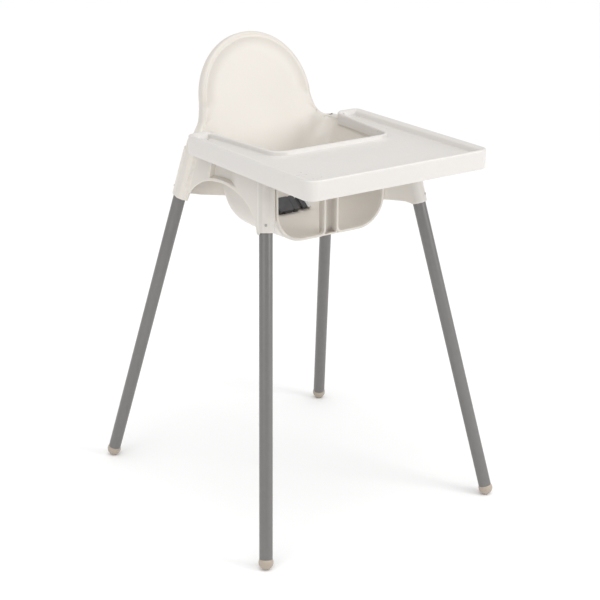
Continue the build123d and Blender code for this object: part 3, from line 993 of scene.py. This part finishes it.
    def build(self) -> bpy.types.Object:
        """Make the bowl and backrest.

        Returns:
            The bowl as a plain mesh with its wall.
        """
        bowl = Draft().sheet(self.rows()).build("bowl", mirror=True)
        face(bowl, (0.0, -0.1, 0.75))
        return thicken(bowl, self.wall, edge=self.softening)


OFF_POCKET = 1000.0


@dataclass
class Skirt:
    """The wall below an arm rest, with both leg sockets, the arch and its shallow pocket."""

    top: float = 722.3
    base: float = 594.0
    socket_radius: float = 16.5
    front_top: tuple[float, float] = (158.2, -125.0)
    front_base: tuple[float, float] = (177.5, -152.4)
    rear_top: tuple[float, float] = (159.0, 120.3)
    rear_base: tuple[float, float] = (178.8, 154.5)
    skirt_offset: float = 14.9
    crease_ahead: float = 37.0
    crease_inset: float = 4.0
    arch_y: float = -15.0
    arch_half: float = 128.0
    arch_rise: float = 67.0
    pocket_front: float = -62.0
    pocket_rear: float = 28.0
    pocket_depth: float = 9.5
    pocket_above_arch: float = 5.0
    edge_roll: float = 3.0
    web_deck: float = 9.0
    trim: float = 6.0
    end_ahead: float = 12.0
    front_tilt: tuple[float, float] = (0.1511, -0.2187)
    rear_tilt: tuple[float, float] = (0.1544, 0.2672)
    inner_front_y: float = -104.0
    inner_rear_y: float = 124.0
    wall: float = 3.0
    softening: float = 0.7

    def columns(self) -> tuple[np.ndarray, np.ndarray, np.ndarray]:
        """Plan of the wall at the top and at the base, and where the pocket lies along it.

        Returns:
            Top points, base points, and each column's distance along the chair.
        """
        top, base, mark = [], [], []

        def add(high: tuple, low: tuple, place: float = OFF_POCKET) -> None:
            """Add one column.

            Args:
                high: Its plan at the top.
                low: Its plan at the base.
                place: Its distance along the chair, where the pocket may press it in.
            """
            top.append(high)
            base.append(low)
            mark.append(place)

        front = (np.array(self.front_top), np.array(self.front_base))
        rear = (np.array(self.rear_top), np.array(self.rear_base))
        add((128.0, -103.0), (121.0, -103.0))
        add((131.0, -105.5), (126.0, -107.0))
        add((136.0, -113.0), (139.0, -121.5))
        add((139.5, -121.0), (152.0, -141.0))
        for angle in np.linspace(-165, -5, 21):
            turn = math.radians(angle)
            spoke = self.socket_radius * np.array([math.cos(turn), math.sin(turn)])
            add(tuple(front[0] + spoke), tuple(front[1] + spoke))
        start = (front[0][1] + 2.0, front[1][1] + 2.0)
        crease = (rear[0][1] - self.crease_ahead, rear[1][1] - self.crease_ahead)
        share = np.unique(np.concatenate([
            np.linspace(0, 0.08, 9), np.linspace(0.08, 0.68, 34), np.linspace(0.68, 0.735, 9),
            np.linspace(0.735, 0.9, 10), np.linspace(0.9, 1.0, 9)]))
        for g in share:
            high_y = start[0] + (crease[0] - start[0]) * g
            low_y = start[1] + (crease[1] - start[1]) * g
            middle = high_y + (low_y - high_y) * 0.25
            inset = self.crease_inset * float(smooth((middle - self.pocket_rear) / 60.0))
            add((front[0][0] + self.skirt_offset - inset, high_y),
                (front[1][0] + self.skirt_offset - inset, low_y), middle)
        for dx, dy in ((14.2, -33.0), (15.3, -24.0), (15.6, -14.0), (15.5, -4.0), (15.1, 0.5), (13.5, 4.5),
                       (10.0, 9.0), (6.8, 12.2), (4.0, 14.0), (-1.0, 15.2), (-6.0, 15.5), (-11.0, 13.0),
                       (-14.0, 9.0)):
            add((rear[0][0] + dx, rear[0][1] + dy), (rear[1][0] + dx, rear[1][1] + dy))
        add((141.5, 127.0), (138.0, 138.0))
        add((138.0, 124.0), (98.0, 103.0))
        return np.array(top), np.array(base), np.array(mark)

    def bottom(self, top: np.ndarray, base: np.ndarray, mark: np.ndarray) -> np.ndarray:
        """Height of the wall's lower edge at each column.

        Args:
            top: Plan at the top.
            base: Plan at the base.
            mark: Each column's distance along the chair.

        Returns:
            The heights.
        """
        front, rear = np.array(self.front_base), np.array(self.rear_base)
        heights = []
        for high, low, place in zip(top, base, mark):
            if place < OFF_POCKET:
                small, large = self.base - 1.0, self.top
                for _ in range(40):
                    z = (small + large) / 2
                    y = high[1] + (low[1] - high[1]) * (self.top - z) / (self.top - self.base)
                    if z < self.arch(y):
                        small = z
                    else:
                        large = z
                heights.append(max(z, self.base + self.trim - 2.0))
            elif low[1] < 0:
                dx, dy = low - front
                level = self.base + self.trim + self.front_tilt[0] * dx + self.front_tilt[1] * dy
                heights.append(level if low[0] > 155.0 else 602.0)
            else:
                dx, dy = low - rear
                dy = max(dy, -self.end_ahead)
                level = self.base + self.trim + self.rear_tilt[0] * dx + self.rear_tilt[1] * dy
                heights.append(level if dx > -16.0 else 598.0)
        return np.array(heights)

    def arch(self, y: float) -> float:
        """Height of the arch's edge at a distance along the chair.

        Args:
            y: The distance.

        Returns:
            The height.
        """
        reach = min(1.0, abs((y - self.arch_y) / self.arch_half))
        return self.base - 2.0 + (self.arch_rise + 2.0) * math.sqrt(1.0 - reach * reach)

    def build(self) -> bpy.types.Object:
        """Make both walls.

        Returns:
            The walls as one plain mesh.
        """
        top, base, mark = self.columns()
        bottom = self.bottom(top, base, mark)
        run = np.gradient(top, axis=0)
        outward = np.stack([run[:, 1], -run[:, 0]], axis=1)
        outward /= np.linalg.norm(outward, axis=1)[:, None]
        rows = []
        inner_y = np.clip(top[:, 1], self.inner_front_y, self.inner_rear_y)
        inner_x = np.interp(inner_y, [self.inner_front_y, 96.0, 110.0, self.inner_rear_y],
                            [137.8, 153.8, 151.0, 143.0])
        deck_z = self.top - 0.3
        inner = np.stack([inner_x, inner_y, np.full(len(top), deck_z)], axis=1)
        web = (top[:, 1] > self.inner_rear_y) | (np.arange(len(top)) > len(top) - 3)
        inner[web, :2] = (top - outward * self.web_deck)[web]
        edge = np.stack([*(top - outward * self.edge_roll).T, np.full(len(top), deck_z)], axis=1)
        rows.append(inner)
        rows.append((inner + edge) / 2)
        for angle in np.radians(np.linspace(0, 90, 6)):
            row = edge.copy()
            row[:, :2] += outward * self.edge_roll * math.sin(angle)
            row[:, 2] -= self.edge_roll * (1 - math.cos(angle))
            rows.append(row)
        low_steps = (30.0, 20.0, 14.0, 11.0, 9.5, 8.5, 7.5, 6.5, 5.5, 4.5, 3.0, 1.5, 0.0)
        start_z = deck_z - self.edge_roll
        for share in np.arange(1, 12) / 12:
            z = start_z + (bottom + low_steps[0] - start_z) * share
            rows.append(self.level(top, base, mark, z, bottom))
        for step in low_steps:
            rows.append(self.level(top, base, mark, bottom + step, bottom))
        walls = Draft().sheet(np.array(rows), flip=True).build("skirts", mirror=True)
        return thicken(walls, self.wall, edge=self.softening)

    def level(self, top: np.ndarray, base: np.ndarray, mark: np.ndarray, z: np.ndarray,
              bottom: np.ndarray) -> np.ndarray:
        """One row of the wall at given heights, pressed in where the pocket is.

        Args:
            top: Plan at the top.
            base: Plan at the base.
            mark: Each column's distance along the chair.
            z: Height at each column.
            bottom: The lower edge's height at each column.

        Returns:
            The row's points.
        """
        share = ((self.top - z) / (self.top - self.base))[:, None]
        plan = top + (base - top) * share
        depth = smooth((mark - self.pocket_front) / 42.0)
        depth = depth * (1.0 - smooth((mark - self.pocket_rear) / 4.5))
        depth = depth * smooth((z - bottom - self.pocket_above_arch) / 4.0)
        plan[:, 0] -= self.pocket_depth * depth
        return np.stack([plan[:, 0], plan[:, 1], z], axis=1)


@dataclass
class ShellDetails:
    """Leg sockets, leg-hole lips, the post between the child's legs and the front bar."""

    skirt: Skirt = field(default_factory=Skirt)
    socket_wall: float = 3.7
    bore: float = 12.65
    socket_depth: float = 106.0
    hole_inner_x: float = 17.2
    hole_outer_x: float = 120.0
    hole_low_z: float = 559.0
    hole_top_z: float = 690.0
    lip_y: float = -108.5
    panel_y: float = -101.0
    lip_width: float = 5.4
    post_half: float = 15.8
    post_back_y: float = -87.0
    post_low_z: float = 555.0
    bar_half: float = 136.0
    wall: float = 3.0
    softening: float = 0.8

    def sockets(self) -> bpy.types.Object:
        """Tubes that hold the legs.

        Returns:
            The four sockets as one mesh.
        """
        draft = Draft()
        skirt = self.skirt
        for plan_top, plan_base in ((skirt.front_top, skirt.front_base), (skirt.rear_top, skirt.rear_base)):
            mouth = np.array([*plan_base, skirt.base])
            axis = np.array([*plan_top, skirt.top]) - mouth
            axis /= np.linalg.norm(axis)
            outer = self.bore + self.socket_wall
            low = skirt.trim
            side = outer - 0.3
            profile = [(self.bore, self.socket_depth), (self.bore, low + 0.8), (self.bore + 0.8, low)]
            profile += [(side - 0.8, low), (side, low + 0.8), (side, self.socket_depth)]
            profile += [(self.bore, self.socket_depth)]
            draft.sheet(lathe(mouth, axis, profile, 40), loop=True)
        return face(draft.build("sockets", mirror=True))

    def lips(self) -> bpy.types.Object:
        """Rounded rims round the two leg holes.

        Returns:
            The rims as one mesh.
        """
        outline = [(self.hole_inner_x, self.hole_low_z, 8.0), (self.hole_outer_x, self.hole_low_z, 56.0),
                   (self.hole_outer_x, self.hole_top_z, 14.0), (self.hole_inner_x, self.hole_top_z, 14.0)]
        points, normals, _ = rounded_loop(outline, 8.0)
        low, high, width, r = self.lip_y, self.panel_y, self.lip_width, 1.9
        ring = [(p, q) for p, q in arc((-r, low + r), r, 0, -90, 5)]
        ring += [(p, q) for p, q in arc((-width + r, low + r), r, -90, -180, 5)]
        ring += [(-width, high), (0.0, high)]
        grid = np.array([[(x + n[0] * p, q, z + n[1] * p) for p, q in ring + ring[:1]]
                         for (x, z), n in zip(points, normals)])
        return face(Draft().sheet(grid.transpose(1, 0, 2), loop=True).build("lips", mirror=True))

    def post(self) -> bpy.types.Object:
        """The channel between the child's legs.

        Returns:
            The channel with its wall.
        """
        half, front, back = self.post_half, self.lip_y + 3.0, self.post_back_y
        plan = [(-half, front), (-half, back - 4), (-half + 1.2, back - 1.2), (-half + 4, back)]
        plan += [(half - 4, back), (half - 1.2, back - 1.2), (half, back - 4), (half, front)]
        low, high = self.post_low_z, self.hole_top_z
        rows = [[(x, y, z) for x, y in plan] for z in np.linspace(low, high, 8)]
        draft = Draft().sheet(np.array(rows), flip=True).cap(np.array(rows[-1]), flip=True)
        return thicken(draft.build("post"), self.wall, edge=self.softening, even=True)

    def bar(self) -> bpy.types.Object:
        """The bar across the front under the tray.

        Returns:
            The bar with its wall.
        """
        section = [(-104.0, 686.0), (-104.0, 696.0), (-106.0, 698.0), (-117.5, 698.0), (-119.5, 700.0),
                   (-119.5, 719.0), (-121.5, 721.0), (-138.0, 720.8), (-140.5, 719.0), (-142.0, 706.0)]
        rows = [[(x, y, z) for y, z in section] for x in np.linspace(-self.bar_half, self.bar_half, 20)]
        draft = Draft().sheet(np.array(rows))
        return thicken(draft.build("bar"), self.wall, edge=self.softening, even=True)


class SeatShell:
    """The whole moulded seat."""

    def __init__(self) -> None:
        """Take the sizes of the bowl, the walls and the details."""
        self.bucket = Bucket()
        self.skirt = Skirt()
        self.details = ShellDetails(self.skirt)

    def build(self) -> bpy.types.Object:
        """Build and join the seat's parts.

        Returns:
            The seat as one mesh.
        """
        pieces = [self.bucket.build(), self.skirt.build()]
        pieces += [self.details.sockets(), self.details.lips(), self.details.post(), self.details.bar()]
        seat = join("seat_moulding", pieces)
        shade(seat)
        return seat

    def dress(self, seat: bpy.types.Object, palette: Palette) -> None:
        """Give the seat its finish and body.

        Args:
            seat: The seat.
            palette: The materials.
        """
        dress(seat, palette[SHELL_PLASTIC])
        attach(seat, "seat")
        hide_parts("seat_shell")


# ---------------------------------------------------------------------------
# Feet
# ---------------------------------------------------------------------------
@dataclass
class Foot:
    """A ball foot with a collar under the tube's end and a flat where it stands."""

    end: End
    side: Side
    skirt: Skirt
    radius: float = 14.0
    flat: float = 5.5
    tube: float = 12.5
    x_front: float = 266.0
    x_rear: float = 268.0
    y_front: float = -279.5
    y_rear: float = 309.5
    rim_share: float = 0.45
    plug: float = 6.0
    steps: int = 48

    def node(self) -> str:
        """The CAD node that this foot stands for.

        Returns:
            The node's name.
        """
        return f"foot_{self.end.value}_{self.side.name.lower()}"

    def middle(self) -> np.ndarray:
        """The ball's middle.

        Returns:
            A point.
        """
        front = self.end is End.FRONT
        x, y = (self.x_front, self.y_front) if front else (self.x_rear, self.y_rear)
        return np.array([self.side.value * x, y, self.radius])

    def axis(self) -> np.ndarray:
        """Direction up the leg.

        Returns:
            A unit vector.
        """
        base = self.skirt.front_base if self.end is End.FRONT else self.skirt.rear_base
        mouth = np.array([self.side.value * base[0], base[1], self.skirt.base])
        direction = mouth - self.middle()
        return direction / np.linalg.norm(direction)

    def build(self, palette: Palette) -> bpy.types.Object:
        """Turn the foot on a lathe, press its underside flat and dress it.

        Args:
            palette: The materials.

        Returns:
            The foot.
        """
        r, middle, axis = self.radius - 0.05, self.middle(), self.axis()
        rim = self.rim_share * self.radius
        profile = [(0.01, -r)]
        profile += [(r * math.sin(a), -r * math.cos(a)) for a in np.radians(np.linspace(8, 112, 22))]
        edge = profile[-1][0]
        profile += [(edge - 0.5, rim - 0.35), (edge - 0.9, rim - 0.1), (edge - 1.6, rim)]
        profile += [(self.tube - 1.6, rim), (self.tube - 1.6, rim + self.plug), (0.01, rim + self.plug)]
        grid = lathe(middle, axis, profile, self.steps)
        low = middle[2] - math.sqrt(self.radius**2 - self.flat**2)
        grid[:, :, 2] = np.where(grid[:, :, 2] < low, grid[:, :, 2] * 0.02, grid[:, :, 2])
        foot = face(Draft().sheet(grid, loop=True).build(f"ball_{self.node()}"))
        shade(foot, math.radians(50))
        dress(foot, palette[FOOT_PLASTIC])
        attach(foot, "seat")
        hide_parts(self.node())
        return foot


# ---------------------------------------------------------------------------
# Lap belt
# ---------------------------------------------------------------------------
@dataclass
class BeltFrame:
    """The plane that the belt lies in, across the heel of the seat."""

    origin: tuple[float, float, float] = (0.0, 71.4, 560.7)
    normal: tuple[float, float, float] = (0.0, -0.597, 0.802)
    up: tuple[float, float, float] = (0.0, 0.802, 0.597)

    def place(self, across: float, up: float, off: float) -> np.ndarray:
        """A point given by its distances across the seat, up its heel and off its wall.

        Args:
            across: Distance across the seat.
            up: Distance up the heel.
            off: Distance off its wall.

        Returns:
            The point.
        """
        frame_axes = np.array([(1.0, 0.0, 0.0), self.up, self.normal])
        return np.array(self.origin) + np.array([across, up, off]) @ frame_axes


@dataclass
class LapStrap:
    """One half of the lap belt, from its anchor behind the heel to its buckle half."""

    side: Side
    belt: BeltFrame = field(default_factory=BeltFrame)
    width: float = 24.6
    thickness: float = 1.6
    off: float = 9.0
    anchor_off: float = -5.85
    slot_x: float = 66.0
    bend: float = 4.0
    left_end: float = -12.1
    right_end: float = 37.6
    steps: int = 46
    across: int = 14

    def path(self) -> np.ndarray:
        """The strap's middle line from its buckle end back through the slot, across and off.

        Returns:
            Points of distance across the seat and off its wall.
        """
        end = -self.left_end if self.side is Side.LEFT else self.right_end
        r = self.bend
        line = [(end, self.off), (end + 6, self.off)]
        line += [(self.slot_x - r - 6, self.off)]
        line += arc((self.slot_x - r, self.off - r), r, 90, 0, 6)
        line += [(self.slot_x, self.anchor_off - 1.0)]
        line += [(self.slot_x, self.anchor_off - 5.0)]
        return evenly(np.array(line), self.steps)

    def build(self, palette: Palette) -> bpy.types.Object:
        """Make the strap with thin selvedges and its own UV map in metres.

        Args:
            palette: The materials.

        Returns:
            The strap.
        """
        path = self.path()
        run = np.gradient(path, axis=0)
        run /= np.linalg.norm(run, axis=1)[:, None]
        half = self.width / 2
        s = np.linspace(-half, half, self.across)
        edge = np.clip((half - np.abs(s)) / 1.2, 0.0, 1.0)
        swell = self.thickness / 2 * np.sqrt(1 - (1 - edge) ** 2) * 0.98 + 0.02
        ring_s = np.concatenate([s, s[::-1]])
        ring_n = np.concatenate([swell, -swell])
        rows = []
        for (x, off), (dx, dy) in zip(path, run):
            rows.append([self.belt.place(self.side.value * (x - dy * n), t, off + dx * n)
                         for t, n in zip(ring_s, ring_n)])
        grid = np.array(rows)
        draft = Draft().sheet(grid, loop=True).cap(grid[0], flip=True).cap(grid[-1])
        strap = draft.build(f"webbing_{self.side.name.lower()}")
        face(strap)
        self.unwrap(strap)
        shade(strap, math.radians(60))
        dress(strap, palette[WEBBING])
        return strap

    def unwrap(self, strap: bpy.types.Object) -> None:
        """Give the strap a UV map: along it and across it, in metres.

        Args:
            strap: The strap.
        """
        layer = strap.data.uv_layers.new(name="webbing_uv")
        up, normal = np.array(self.belt.up), np.array(self.belt.normal)
        origin = np.array(self.belt.origin) * MM
        for loop in strap.data.loops:
            p = np.array(strap.data.vertices[loop.vertex_index].co) - origin
            layer.data[loop.index].uv = (abs(p[0]) - p @ normal, p @ up)


class LapBelt:
    """Both straps with their stitching, and the care label."""

    def __init__(self, palette: Palette) -> None:
        """Keep the materials and the belt's plane.

        Args:
            palette: The materials.
        """
        self.palette = palette
        self.belt = BeltFrame()
        self.stitch_radius = 0.28
        self.stitch_length = 2.2
        self.stitch_gap = 3.2
        self.stitch_half = 9.5
        self.stitch_off = 9.95
        self.label_cloth = 0.14
        self.label_ends = (58.0, 65.0, 9.92)

    def stitch_tree(self) -> bpy.types.GeometryNodeTree:
        """Geometry Nodes that set short threads along a path.

        Returns:
            The tree, with inputs Spacing, Length and Radius.
        """
        tree = bpy.data.node_groups.new("stitch_row", "GeometryNodeTree")
        tree.interface.new_socket("Geometry", in_out="INPUT", socket_type="NodeSocketGeometry")
        for label in ("Spacing", "Length", "Radius"):
            tree.interface.new_socket(label, in_out="INPUT", socket_type="NodeSocketFloat")
        tree.interface.new_socket("Geometry", in_out="OUTPUT", socket_type="NodeSocketGeometry")
        given = tree.nodes.new("NodeGroupInput").outputs
        path = add_node(tree, "GeometryNodeMeshToCurve", {"Mesh": given["Geometry"]})
        spread = add_node(tree, "GeometryNodeCurveToPoints", {
            "Curve": path.outputs["Curve"], "Length": given["Spacing"]}, mode="LENGTH")
        thread = add_node(tree, "GeometryNodeMeshCylinder", {
            "Vertices": 6, "Depth": given["Length"], "Radius": given["Radius"]})
        put = add_node(tree, "GeometryNodeInstanceOnPoints", {
            "Points": spread.outputs["Points"], "Rotation": spread.outputs["Rotation"],
            "Instance": thread.outputs["Mesh"]})
        realize = add_node(tree, "GeometryNodeRealizeInstances", {"Geometry": put.outputs["Instances"]})
        finish = add_node(tree, "GeometryNodeSetMaterial", {
            "Geometry": realize.outputs["Geometry"], "Material": self.palette[THREAD]})
        add_node(tree, "NodeGroupOutput", {"Geometry": finish.outputs["Geometry"]})
        return tree

    def stitches(self, name: str, start_x: float, end_x: float) -> bpy.types.Object:
        """A stitched box across a strap where its end is sewn back.

        Args:
            name: The piece's name.
            start_x: One side of the box across the seat.
            end_x: Its other side.

        Returns:
            The threads as one plain mesh.
        """
        s = self.stitch_half
        corners = [(start_x, -s), (end_x, -s), (end_x, s), (start_x, s), (start_x, -s), (end_x, s),
                   (end_x, -s), (start_x, s)]
        points = [self.belt.place(x, t, self.stitch_off) * MM for x, t in corners]
        mesh = bpy.data.meshes.new(name)
        mesh.from_pydata([tuple(p) for p in points], [(i, i + 1) for i in range(len(points) - 1)], [])
        piece = add_object(name, mesh)
        modifier = piece.modifiers.new("stitches", "NODES")
        modifier.node_group = self.stitch_tree()
        set_inputs(modifier, Spacing=self.stitch_gap * MM, Length=self.stitch_length * MM,
                   Radius=self.stitch_radius * MM)
        piece.update_tag()
        settle(piece)
        return piece

    def label(self) -> bpy.types.Object:
        """A blank care label, folded once and sewn to the right strap's upper face.

        Returns:
            The label.
        """
        low, high, lift = self.label_ends
        fold = [(low, lift), (high - 0.35, lift)]
        fold += [(high - 0.35 + 0.25 * math.sin(a), lift + 0.25 - 0.25 * math.cos(a))
                 for a in np.radians((45, 90, 135))]
        fold += [(high - 0.35, lift + 0.5), (low + 0.2, lift + 0.42)]
        line = evenly(np.array(fold), 30)
        rows = [[self.belt.place(x, s, n + 0.05 * math.sin(s * 0.5)) for x, n in line]
                for s in np.linspace(-16.0, 0.0, 12)]
        label = Draft().sheet(np.array(rows)).build("folded_label")
        thicken(label, self.label_cloth)
        layer = label.data.uv_layers.new(name="cloth_uv")
        for loop in label.data.loops:
            point = label.data.vertices[loop.vertex_index].co
            layer.data[loop.index].uv = (point.x, point.y * 1.25)
        shade(label, math.radians(60))
        dress(label, self.palette[LABEL_CLOTH])
        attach(label, "seat")
        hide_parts("care_label")
        return label

    def build(self) -> list[bpy.types.Object]:
        """Build and dress the belt.

        Returns:
            The pieces.
        """
        pieces = []
        for side in Side:
            strap = LapStrap(side).build(self.palette)
            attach(strap, "seat")
            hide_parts(f"lap_strap_{side.name.lower()}")
            pieces.append(strap)
        for name, start, end in (("stitching_left", -34.0, -19.0), ("stitching_right", 46.0, 61.0)):
            threads = self.stitches(name, start, end)
            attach(threads, "seat")
            pieces.append(threads)
        pieces.append(self.label())
        return pieces


# ---------------------------------------------------------------------------
# Leaf springs
# ---------------------------------------------------------------------------
@dataclass
class LeafSprings:
    """The folded leaf springs behind the snap buttons, which in the real chair give way as a button is
    pressed; these copies do not move.
    """

    press: float = 4.8
    clearance: float = 0.15

    def build(self, palette: Palette) -> list[bpy.types.Object]:
        """Make the springs in the places of their CAD nodes, as fixed copies of their meshes.

        Args:
            palette: The materials.

        Returns:
            The springs.
        """
        springs = []
        for joint in frame["joints"]:
            if not joint["name"].startswith("button_press_"):
                continue
            place = joint["name"].removeprefix("button_press_")
            node = frame["nodes"][f"button_spring_{place}"]
            mesh = node.data.copy()
            mesh.transform(node.matrix_world)
            spring = add_object(f"leaf_spring_{place}", mesh)
            dress(spring, palette[BUTTON_STEEL])
            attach(spring, "seat")
            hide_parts(node.name)
            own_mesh(spring)
            springs.append(spring)
        return springs


# ---------------------------------------------------------------------------
# Studio
# ---------------------------------------------------------------------------
@dataclass
class Studio:
    """A pale floor, soft lights and the camera."""

    camera_at: tuple[float, float, float] = (-1606.5, -2341.2, 1422.5)
    azimuth: float = -34.49
    elevation: float = 20.0
    lens: float = 90.98
    floor_half: float = 9000.0
    key_at: tuple[float, float, float] = (1.5, -2.5, 1.45)
    key_power: float = 26.0
    fill_at: tuple[float, float, float] = (-3.0, -1.0, 1.6)
    fill_power: float = 16.0
    sun_power: float = 1.5
    sun_angle: float = 70.0
    sky: float = 0.62

    def floor(self, palette: Palette) -> bpy.types.Object:
        """Lay the floor below the feet.

        Args:
            palette: The materials.

        Returns:
            The floor.
        """
        half = self.floor_half
        draft = Draft().sheet(np.array([[(x, y, 0.0) for x in (-half, half)] for y in (-half, half)]))
        floor = draft.build("studio_floor")
        dress(floor, palette[FLOOR_PAPER])
        return floor

    def light(self, name: str, place: tuple, aim: tuple, size: float, power: float) -> None:
        """Add one soft square light.

        Args:
            name: The light's name.
            place: Where it stands, in metres.
            aim: Where it points, in metres.
            size: Its side, in metres.
            power: Its power in watts.
        """
        data = bpy.data.lights.new(name, "AREA")
        data.size = size
        data.energy = power
        lamp = add_object(name, data)
        lamp.location = place
        lamp.rotation_euler = (Vector(aim) - Vector(place)).to_track_quat("-Z", "Y").to_euler()

    def lights(self) -> None:
        """Add the lights and the pale surroundings."""
        middle = (0.0, 0.0, 0.6)
        self.light("key_light", self.key_at, (0.0, 0.1, 0.75), 1.1, self.key_power)
        self.light("left_light", self.fill_at, middle, 2.2, self.fill_power)
        data = bpy.data.lights.new("top_light", "SUN")
        data.energy = self.sun_power
        data.angle = math.radians(self.sun_angle)
        lamp = add_object("top_light", data)
        lamp.rotation_euler = Vector((0.1, 0.3, -1.0)).to_track_quat("-Z", "Y").to_euler()
        world = bpy.data.worlds.new("studio")
        world.use_nodes = True
        sky = world.node_tree.nodes["Background"]
        sky.inputs["Color"].default_value = (1.0, 1.0, 1.0, 1.0)
        sky.inputs["Strength"].default_value = self.sky
        bpy.context.scene.world = world
        bpy.context.scene.view_settings.view_transform = "Standard"

    def camera(self) -> None:
        """Place the camera and make it the scene's."""
        turn, lift = math.radians(self.azimuth), math.radians(self.elevation)
        back = Vector((math.sin(turn) * math.cos(lift), -math.cos(turn) * math.cos(lift), math.sin(lift)))
        data = bpy.data.cameras.new("camera")
        data.lens = self.lens
        data.clip_end = 50.0
        camera = add_object("camera", data)
        camera.location = Vector(self.camera_at) * MM
        camera.rotation_euler = (-back).to_track_quat("-Z", "Y").to_euler()
        bpy.context.scene.camera = camera


class CarriedNodes:
    """The CAD nodes whose shape is already right, with finer materials."""

    finishes = {
        "leg_": LEG_PAINT,
        "snap_button": BUTTON_STEEL,
        "strap_anchor": BUCKLE_PLASTIC,
        "buckle_": BUCKLE_PLASTIC,
        "strap_keeper": BUCKLE_PLASTIC,
    }

    def dress(self, palette: Palette) -> int:
        """Put the materials on.

        Args:
            palette: The materials.

        Returns:
            How many nodes were dressed.
        """
        done = 0
        for name in frame["nodes"]:
            for start, finish in self.finishes.items():
                if name.startswith(start):
                    dress(bpy.data.objects[name], palette[finish])
                    done += 1
        return done


def main() -> None:
    """Build the studio and every visible piece."""
    logging.basicConfig(level=logging.INFO, format="%(name)s: %(message)s")
    palette = Palette()
    studio = Studio()
    studio.camera()
    studio.floor(palette)
    studio.lights()
    LOG.info("%d carried nodes dressed", CarriedNodes().dress(palette))
    shell = SeatShell()
    seat = shell.build()
    shell.dress(seat, palette)
    LOG.info("seat has %d faces", len(seat.data.polygons))
    for end in End:
        for side in Side:
            foot = Foot(end, side, shell.skirt).build(palette)
            LOG.info("%s has %d faces", foot.name, len(foot.data.polygons))
    for piece in LapBelt(palette).build() + LeafSprings().build(palette):
        LOG.info("%s has %d faces", piece.name, len(piece.data.polygons))
    tray = Tray()
    moulding = tray.build()
    tray.dress(moulding, palette)
    LOG.info("tray has %d faces", len(moulding.data.polygons))


if __name__ == "__main__":
    main()
